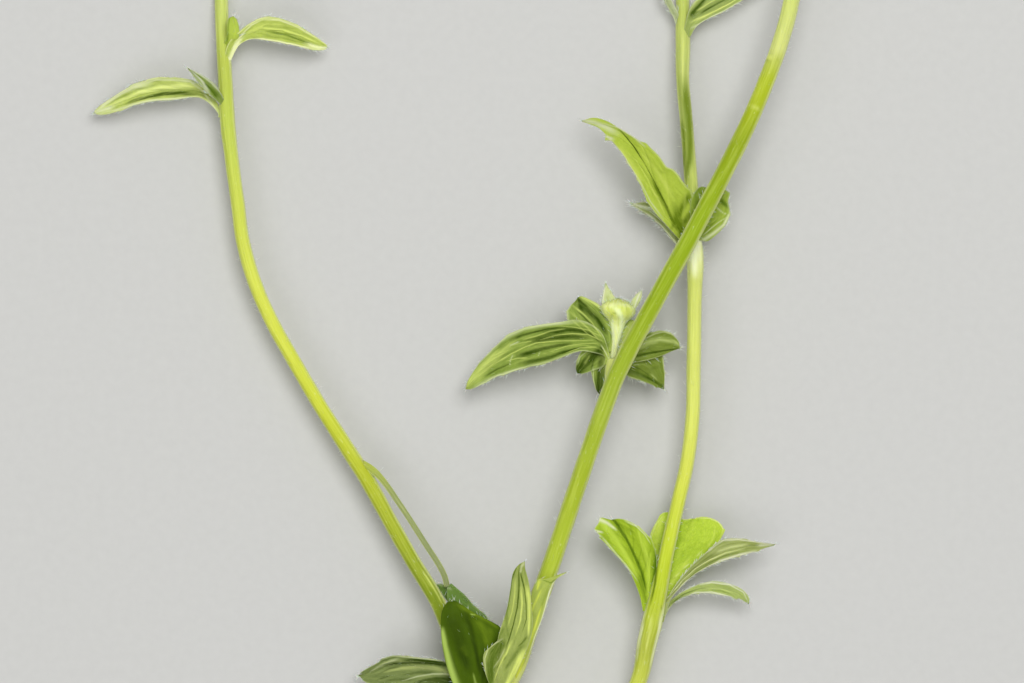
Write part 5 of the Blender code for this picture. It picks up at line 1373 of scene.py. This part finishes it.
def add_dome(shape, hairs, radius, draw):
    """The funnel and dome of the closed bud, ribbed towards the top, under short dense hairs."""
    foot, axis = Vector(BUD_FOOT), Vector(BUD_TOP) - Vector(BUD_FOOT)
    side = -across(axis)
    front = side.cross(axis).normalized()
    profile = [(share, size, 0) for share, size in BUD_PROFILE]
    rings, place = [], []
    for row in range(BUD_ROWS + 1):
        share, size, _ = smooth_curve(profile, row / BUD_ROWS)
        for i in range(BUD_SIDES):
            turn = 2 * pi * i / BUD_SIDES
            way = side * cos(turn) + front * sin(turn)
            rib = 1 + BUD_RIB_DEPTH * cos(BUD_RIBS * turn) * ease(share, *BUD_RIB_START)
            p = foot + axis * share + way * max(BUD_LEAST_RADIUS, size) * rib
            p.x += BUD_BEND * sin(pi * share)
            rings.append(p)
            place.append((cos(turn), share, sin(turn)))
            hairy = BUD_HAIR_SHARE * (1 - BUD_FACING_GONE * max(0.0, way.z))
            if draw.random() < hairy and share > BUD_HAIR_START:
                lean = way * draw.uniform(*BUD_HAIR.out)
                lean += axis.normalized() * draw.uniform(*BUD_HAIR.ahead)
                reach = draw.uniform(*BUD_HAIR.reach)
                bend = scatter(draw, *BUD_HAIR.bend)
                add_hair(hairs, p, lean, reach, radius * BUD_HAIR.radius, bend)
    marks, relief = paint(rings, BUD_STROKES)
    for p, lift in zip(rings, relief):
        p.z += lift
    faces = tube_faces(BUD_ROWS, BUD_SIDES)
    faces.append(tuple(range(BUD_SIDES)))
    faces.append(tuple(BUD_ROWS * BUD_SIDES + i for i in reversed(range(BUD_SIDES))))
    shape.add(rings, faces, place, [tuple(m) for m in marks])


# Materials

class Value:
    """A socket that takes part in Python expressions; each operator adds its Math node."""

    def __init__(self, board, socket):
        self.board, self.socket = board, socket

    def math(self, operation, *others):
        values = dict(enumerate((self, *others)))
        return self.board.add("ShaderNodeMath", {"operation": operation}, values)

    def __add__(self, other):
        return self.math("ADD", other)

    __radd__ = __add__

    def __sub__(self, other):
        return self.math("SUBTRACT", other)

    def __rsub__(self, other):
        return self.math("MULTIPLY_ADD", -1, other)

    def __mul__(self, other):
        return self.math("MULTIPLY", other)

    __rmul__ = __mul__

    def __pow__(self, other):
        return self.math("POWER", other)

    def __abs__(self):
        return self.math("ABSOLUTE")

    def wave(self):
        """Sine of the value, moved and scaled to run from 0 to 1."""
        return (self.math("SINE") + 1) * 0.5

    def limit(self):
        """The value, kept between 0 and 1."""
        return self.board.add("ShaderNodeClamp", {}, {"Value": self})

    def ease(self, low, high):
        """0 below low, 1 above high, smooth between."""
        values = {"Value": self, "From Min": low, "From Max": high}
        return self.board.add("ShaderNodeMapRange", {"interpolation_type": "SMOOTHSTEP"}, values)


class Board:
    """The node tree of one material."""

    def __init__(self, name):
        self.material = bpy.data.materials.new(name)
        self.material.use_nodes = True
        self.tree = self.material.node_tree
        self.shader = self.tree.nodes["Principled BSDF"]

    def put(self, socket, value):
        if isinstance(value, Value):
            self.tree.links.new(value.socket, socket)
        elif isinstance(value, tuple) and socket.type == "RGBA":
            socket.default_value = (*value, 1.0)
        else:
            socket.default_value = value

    def add(self, kind, settings, values, *outputs):
        """Adds a node, and gives its named outputs, or its first one where none is named."""
        node = self.tree.nodes.new(kind)
        for key, value in settings.items():
            if key == "stops":
                ramp = node.color_ramp
                while len(ramp.elements) < len(value):
                    ramp.elements.new(1.0)
                for element, (place, colour) in zip(ramp.elements, value):
                    element.position = place
                    element.color = (*colour, 1.0)
            else:
                setattr(node, key, value)
        for key, value in values.items():
            self.put(node.inputs[key], value)
        if not outputs:
            return Value(self, next(socket for socket in node.outputs if socket.enabled))
        made = [Value(self, node.outputs[name]) for name in outputs]
        return made if len(made) > 1 else made[0]

    def read(self, attribute):
        vector = self.add("ShaderNodeAttribute", {"attribute_name": attribute}, {}, "Vector")
        return self.add("ShaderNodeSeparateXYZ", {}, {"Vector": vector}, "X", "Y", "Z")

    def join(self, x, y, z):
        return self.add("ShaderNodeCombineXYZ", {}, {"X": x, "Y": y, "Z": z})

    def blend(self, a, b, share):
        """Colour a where share is 0 and colour b where it is 1."""
        values = {MIX_SHARE: share, MIX_FIRST: a, MIX_SECOND: b}
        return self.add("ShaderNodeMix", {"data_type": "RGBA"}, values, MIX_COLOUR)

    def grain(self, vector, detail=2.0, scale=1.0):
        values = {"Vector": vector, "Scale": scale, "Detail": detail}
        return self.add("ShaderNodeTexNoise", {}, values, "Fac")

    def long_grain(self, side, along, top, run, detail=2.0, scale=1.0):
        """Grain on a round piece, drawn out along it by the two rates of its run."""
        around, lengthwise = run
        vector = self.join(side * around, along * lengthwise, top * around)
        return self.grain(vector, detail, scale)

    def finish(self, colour, roughness, fixed, height=None, bump=0.0):
        """The material with its colour, its roughness, its fixed settings and, where given, bumps."""
        self.put(self.shader.inputs["Base Color"], colour)
        self.put(self.shader.inputs["Roughness"], roughness)
        if height is not None:
            values = {"Strength": 1.0, "Distance": bump, "Height": height}
            self.put(self.shader.inputs["Normal"], self.add("ShaderNodeBump", {}, values))
        for name, value in fixed.items():
            self.put(self.shader.inputs[name], value)
        return self.material


def tone(screen):
    """Linear colour from screen values of 0 to 255."""
    shares = [value / 255 for value in screen]
    return tuple(min(BRIGHTEST, v / 12.92 if v <= 0.04045 else ((v + 0.055) / 1.055) ** 2.4)
                 for v in shares)


def leaf_finish(name, look):
    """Leaf skin: streaks along the blade, cells, veins, painted highlights and shade on its folds and ridges
    from its marks, a pale rim and tip.
    """
    board = Board(name)
    across_mm, along_mm, edge = board.read("place")
    light, dark, pale = board.read("marks")
    mid, bright, deep, white = (tone(colour) for colour in (look.mid, look.light, look.dark, look.pale))
    fan_across = across_mm.math("SIGN") * edge * look.streak_count
    fan = board.grain(board.join(fan_across, along_mm * FAN_ALONG, 0.0), STREAK_DETAIL)
    fine = board.grain(board.join(across_mm * FINE_RUN[0], along_mm * FINE_RUN[1], 0.0))
    streaks = (fan * FAN_SHARE + fine * (1 - FAN_SHARE)).ease(*STREAK_RANGE)
    values = {"Vector": board.join(across_mm, along_mm * CELL_ALONG, 0.0), "Scale": look.cells}
    cells = board.add("ShaderNodeTexVoronoi", {"feature": "DISTANCE_TO_EDGE"}, values, "Distance")
    cells = cells.ease(*CELL_WALL)
    clouds = board.grain(board.join(across_mm * CLOUD_RUN[0], along_mm * CLOUD_RUN[1], CLOUD_LAYER))
    shade = (clouds.ease(*CLOUD_RANGE) - 0.5) * look.clouds + (0.5 - streaks) * look.streaks
    colour = board.blend(mid, deep, shade.limit())
    colour = board.blend(colour, bright, ((streaks - 0.5) * look.streaks).limit())
    # Dark marks paint shade and light marks paint highlights, along with darker and lighter tissue, stronger
    # where the streaks are light.
    painted_shading = streaks * 0.4 + 0.75
    colour = board.blend(colour, deep, ((1 - cells) * look.mottle + dark * painted_shading).limit())
    colour = board.blend(colour, bright, (light * painted_shading).limit())
    rim = edge.ease(1 - look.rim, 1.0) * (0.45 + streaks * 0.55) * look.rim_amount
    colour = board.blend(colour, white, (pale + rim).limit())
    fixed = {**LEAF_SKIN, "Subsurface Weight": look.glow, "Sheen Weight": look.sheen}
    height = cells * look.mottle * 0.8 + streaks * 0.7 - pale * 0.2
    return board.finish(colour, 0.5 + streaks * 0.14, fixed, height, LEAF_BUMP)


def stem_finish(name, stops, light):
    """Stem skin: colour by level, ribs, fine streaks, painted shade and highlights from its marks, painted
    shade on its left flank and painted rim light on both flanks, pale marks and flecks, a ringed pith where
    cut.
    """
    board = Board(name)
    side, along_mm, top = board.read("place")
    # shade holds the painted highlights (above 0) and painted shade (below 0) of the light and dark marks.
    shade, pale, level = board.read("marks")
    core = (side * side + top * top) ** 0.5
    ramp = {"stops": [(place, tone(colour)) for place, *colour in stops]}
    colour = board.add("ShaderNodeValToRGB", ramp, {"Fac": level}, "Color")
    streaks = board.long_grain(side, along_mm, top, STEM_STREAK_RUN, STREAK_DETAIL).ease(*STREAK_RANGE)
    flecks = board.long_grain(side, along_mm, top, FLECK_RUN, scale=FLECK_SCALE)
    ribs = (top.math("ARCTAN2", side) * RIBS + along_mm * RIB_TWIST).wave()
    # Darker streaks, painted shade from the dark marks, and painted shade on the left flank, where side runs
    # below 0.
    darker = (0.5 - streaks) * 0.16 - shade + (0 - side).ease(0.0, 1.0) * 0.16
    colour = board.blend(colour, tone(STEM_DARK), darker.limit())
    colour = board.blend(colour, light, (shade + (streaks - 0.5) * 0.2 + ribs * 0.04).limit())
    # Painted rim light on both flanks, more on the right, kept off where dark marks paint shade.
    painted_rim_light = (abs(side) + side * RIM_LIGHT_LEAN).ease(*RIM_LIGHT_RANGE)
    painted_rim_light = painted_rim_light * (0.6 + streaks * 0.25) * (shade + 1).limit()
    colour = board.blend(colour, tone(STEM_RIM_LIGHT), painted_rim_light)
    colour = board.blend(colour, tone(STEM_PALE), (pale + flecks.ease(*FLECK_RANGE) * 0.3).limit())
    rings = (core.ease(*PITH_EDGE_RANGE) * 0.8 + (core * PITH_RINGS).wave() * 0.2).limit()
    pith = board.blend(tone(PITH), tone(PITH_EDGE), rings)
    colour = board.blend(pith, colour, core.ease(*SKIN_START))
    height = streaks * 0.6 + ribs * 0.3 + flecks * 0.2
    return board.finish(colour, 0.44 + streaks * 0.12, STEM_SKIN, height, STEM_BUMP)


def bud_finish(name):
    """Bud skin: yellow green on the dome, paler on the funnel, with fine lengthwise ribs, painted shade and
    highlights from its marks, and painted rim light on its flanks.
    """
    board = Board(name)
    side, share, top = board.read("place")
    light, dark, pale = board.read("marks")
    streaks = board.long_grain(side, share, top, BUD_STREAK_RUN, STREAK_DETAIL).ease(*STREAK_RANGE)
    colour = board.blend(tone(BUD_LOW), tone(BUD_HIGH), share.ease(*BUD_HIGH_RANGE))
    colour = board.blend(colour, tone(BUD_DARK), ((0.5 - streaks) * 0.25 + dark).limit())
    colour = board.blend(colour, tone(BUD_LIGHT), ((streaks - 0.5) * 0.25 + light).limit())
    # Painted rim light on the bud's flanks.
    painted_rim_light = abs(side).ease(*BUD_RIM_LIGHT_RANGE) * 0.4
    colour = board.blend(colour, tone(BUD_PALE), (pale + painted_rim_light).limit())
    return board.finish(colour, 0.5 + streaks * 0.15, BUD_SKIN, streaks, BUD_BUMP)


def hair_finish(name):
    """Silky white hairs, slightly greener at their roots."""
    board = Board(name)
    _, along, _ = board.read("marks")
    colour = board.blend(tone(HAIR_ROOT), tone(HAIR_TIP), along.ease(*HAIR_WHITE_RANGE))
    return board.finish(colour, 0.35 + along * 0.1, HAIR_SKIN)


def floor_finish(name, colour):
    """Plain pale floor with a barely seen grain."""
    board = Board(name)
    where = board.add("ShaderNodeTexCoord", {}, {}, "Object")
    grain = board.grain(where, FLOOR_GRAIN_DETAIL, FLOOR_GRAIN_SCALE)
    colour = board.blend(colour, tuple(FLOOR_GRAIN * part for part in colour), grain)
    return board.finish(colour, 0.85 + grain * 0.1, FLOOR_SKIN, grain, FLOOR_BUMP)


# Sizes and colours that a user would change

class StemSizes(bpy.types.PropertyGroup):
    hair_length: FloatProperty(name="Hair length", description="Usual length of a hair on the stems",
                               default=STEM_HAIR_LENGTH * MM, min=0, unit="LENGTH")
    rib_depth: FloatProperty(name="Rib depth", description="Share of the radius that the ribs stand up",
                             default=RIB_DEPTH, min=0, max=0.2, subtype="FACTOR")
    # The light colour serves the light streaks and the painted highlights of the light marks.
    light: FloatVectorProperty(name="Light streaks", description="Colour of the light streaks",
                               default=tone(STEM_LIGHT), size=3, min=0, max=1, subtype="COLOR")


class LeafSizes(bpy.types.PropertyGroup):
    thickness: FloatProperty(name="Thickness", description="Thickness of a leaf beside its rib",
                             default=LEAF_THICKNESS * MM, min=0, unit="LENGTH")
    hair_radius: FloatProperty(name="Hair radius", description="Radius of a hair at its root",
                               default=HAIR_RADIUS * MM, min=0, precision=6, unit="LENGTH")
    seed: IntProperty(name="Hair seed", description="Picks where the hairs stand", default=SEED, min=0)


class StageSizes(bpy.types.PropertyGroup):
    floor: FloatProperty(name="Floor side", description="Length of the square floor's side",
                         default=FLOOR_SIDE, min=0.1, unit="LENGTH")
    camera_height: FloatProperty(name="Camera height", description="Height of the camera over the floor",
                                 default=CAMERA_HEIGHT, min=0.1, unit="LENGTH")
    room_light: FloatProperty(name="Room light", description="Strength of the even light all round",
                              default=ROOM_LIGHT, min=0)
    colour: FloatVectorProperty(name="Floor colour", description="Colour of the plain floor",
                                default=tone(FLOOR_COLOUR), size=3, min=0, max=1, subtype="COLOR")


# Operators

def build_leaves(context, names):
    """Builds the blades that stand for some leaf nodes, each node with its hairs."""
    sizes = context.scene.avens_leaf
    thickness, radius = sizes.thickness / MM, sizes.hair_radius / MM
    for name in names:
        draw = random.Random(sizes.seed + 1 + list(LEAVES).index(name))
        look = LOOKS[name]
        shape, hairs = Shape(), Shape()
        for blade in LEAVES[name]:
            grid = add_blade(shape, blade, look, STROKES.get(name, ()), thickness)
            leaf_hairs(hairs, grid, look, blade.hairs, radius, draw)
        shape.make(name + "_blade", name, look.slot, [leaf_finish(name + "_skin", look)])
        hairs.make(name + "_hairs", None, look.slot, [hair_finish(name + "_hair")])
    return {"FINISHED"}


class AVENS_OT_stems(bpy.types.Operator):
    """Builds the stems with their cut ends and hairs"""

    bl_idname = "avens.stems"
    bl_label = "Stems"

    def execute(self, context):
        sizes, leaf_sizes = context.scene.avens_stem, context.scene.avens_leaf
        hair_length, radius = sizes.hair_length / MM, leaf_sizes.hair_radius / MM
        draw = random.Random(leaf_sizes.seed)
        shape, hairs = Shape(), Shape()
        finishes = []
        for slot, name in enumerate(STEMS):
            add_stem(shape, name, slot, sizes.rib_depth)
            stem_hairs(hairs, name, hair_length, radius, draw)
            finishes.append(stem_finish(name + "_stem_skin", STEM_STOPS[name], tuple(sizes.light)))
        shape.make("stem_skin", "stem", "stem", finishes)
        hairs.make("stem_hairs", None, "stem", [hair_finish("stem_hair")])
        return {"FINISHED"}


class AVENS_OT_left_leaves(bpy.types.Operator):
    """Builds the bracts and stipules of the left stem and the small leaf of its thin stalk"""

    bl_idname = "avens.left_leaves"
    bl_label = "Left stem's leaves"

    def execute(self, context):
        return build_leaves(context, ("lower_bract", "lower_stipule", "upper_bract", "upper_stipule",
                                      "stalk_leaf"))


class AVENS_OT_fork_leaves(bpy.types.Operator):
    """Builds the dark leaf, the bracts and the sheath at the fork"""

    bl_idname = "avens.fork_leaves"
    bl_label = "Leaves at the fork"

    def execute(self, context):
        return build_leaves(context, ("dark_leaf", "striped_bract", "sheath", "left_bract"))


class AVENS_OT_middle_leaves(bpy.types.Operator):
    """Builds the leaves round the bud"""

    bl_idname = "avens.middle_leaves"
    bl_label = "Leaves round the bud"

    def execute(self, context):
        return build_leaves(context, ("middle_leaf", "right_leaf"))


class AVENS_OT_right_leaves(bpy.types.Operator):
    """Builds the leaves and stipules at the three joints of the right stem"""

    bl_idname = "avens.right_leaves"
    bl_label = "Right stem's leaves"

    def execute(self, context):
        return build_leaves(context, ("large_leaf", "thin_lobe", "folded_stipule", "left_leaflet",
                                      "broad_leaflet", "grey_leaflet", "thin_leaflet", "top_leaf",
                                      "top_stipule"))


class AVENS_OT_bud(bpy.types.Operator):
    """Builds the closed bud with its pointed sepals and hairs"""

    bl_idname = "avens.bud"
    bl_label = "Bud"

    def execute(self, context):
        sizes = context.scene.avens_leaf
        thickness, radius = sizes.thickness / MM, sizes.hair_radius / MM
        draw = random.Random(sizes.seed + BUD_DRAW)
        shape, hairs = Shape(), Shape()
        add_dome(shape, hairs, radius, draw)
        for blade in SEPALS:
            grid = add_blade(shape, blade, SEPAL_LOOK, BUD_STROKES, thickness, SEPAL_SLOT)
            leaf_hairs(hairs, grid, SEPAL_LOOK, blade.hairs, radius, draw)
        finishes = [bud_finish("bud_skin"), leaf_finish("sepal_skin", SEPAL_LOOK)]
        shape.make("bud_skin", "bud", "bud", finishes)
        hairs.make("bud_hairs", None, "bud", [hair_finish("bud_hair")])
        return {"FINISHED"}


class AVENS_OT_stage(bpy.types.Operator):
    """Lays the floor and sets the lights and the camera"""

    bl_idname = "avens.stage"
    bl_label = "Stage"

    def execute(self, context):
        scene = context.scene
        sizes = scene.avens_stage
        half = sizes.floor / 2
        corners = [(-half, -half, 0), (half, -half, 0), (half, half, 0), (-half, half, 0)]
        mesh = bpy.data.meshes.new("floor")
        mesh.from_pydata(corners, [], [(0, 1, 2, 3)])
        mesh.materials.append(floor_finish("floor_finish", tuple(sizes.colour)))
        floor = bpy.data.objects.new("floor", mesh)
        scene.collection.objects.link(floor)
        floor.location.z = -FLOOR_GAP * MM
        for name, place, size, power in LIGHTS:
            light = bpy.data.lights.new(name, "AREA")
            light.shape = "DISK"
            light.size = size
            light.energy = power
            lamp = bpy.data.objects.new(name, light)
            scene.collection.objects.link(lamp)
            lamp.location = place
            lamp.rotation_euler = (-Vector(place)).to_track_quat("-Z", "Y").to_euler()
        world = bpy.data.worlds.new("soft_room")
        scene.world = world
        world.use_nodes = True
        room = world.node_tree.nodes["Background"]
        room.inputs["Color"].default_value = (1, 1, 1, 1)
        room.inputs["Strength"].default_value = sizes.room_light
        lens = bpy.data.cameras.new("camera")
        lens.sensor_width = SENSOR_WIDTH
        lens.lens = SENSOR_WIDTH * (sizes.camera_height / MM - VIEW_LEVEL) / VIEW_WIDTH
        lens.clip_end = CAMERA_REACH
        camera = bpy.data.objects.new("camera", lens)
        scene.collection.objects.link(camera)
        camera.location = (VIEW_CENTRE[0] * MM, VIEW_CENTRE[1] * MM, sizes.camera_height)
        scene.camera = camera
        scene.view_settings.view_transform = "Standard"
        return {"FINISHED"}


class AVENS_PT_panel(bpy.types.Panel):
    """Lists the steps that build the stem"""

    bl_idname = "AVENS_PT_panel"
    bl_label = "Wood avens"
    bl_space_type = "VIEW_3D"
    bl_region_type = "UI"
    bl_category = "Wood avens"

    def draw(self, context):
        for group, made in GROUPS.items():
            for name in made.__annotations__:
                self.layout.prop(getattr(context.scene, group), name)
        for step in STEPS:
            self.layout.operator(step.bl_idname)


STEPS = (AVENS_OT_stems, AVENS_OT_left_leaves, AVENS_OT_fork_leaves, AVENS_OT_middle_leaves,
         AVENS_OT_right_leaves, AVENS_OT_bud, AVENS_OT_stage)
GROUPS = {"avens_stem": StemSizes, "avens_leaf": LeafSizes, "avens_stage": StageSizes}
CLASSES = (*GROUPS.values(), *STEPS, AVENS_PT_panel)


def register():
    for made in CLASSES:
        bpy.utils.register_class(made)
    for name, group in GROUPS.items():
        setattr(bpy.types.Scene, name, PointerProperty(type=group))


def unregister():
    for name in GROUPS:
        delattr(bpy.types.Scene, name)
    for made in reversed(CLASSES):
        bpy.utils.unregister_class(made)


def main():
    register()
    for step in STEPS:
        group, action = step.bl_idname.split(".")
        getattr(getattr(bpy.ops, group), action)()


if __name__ == "__main__":
    main()
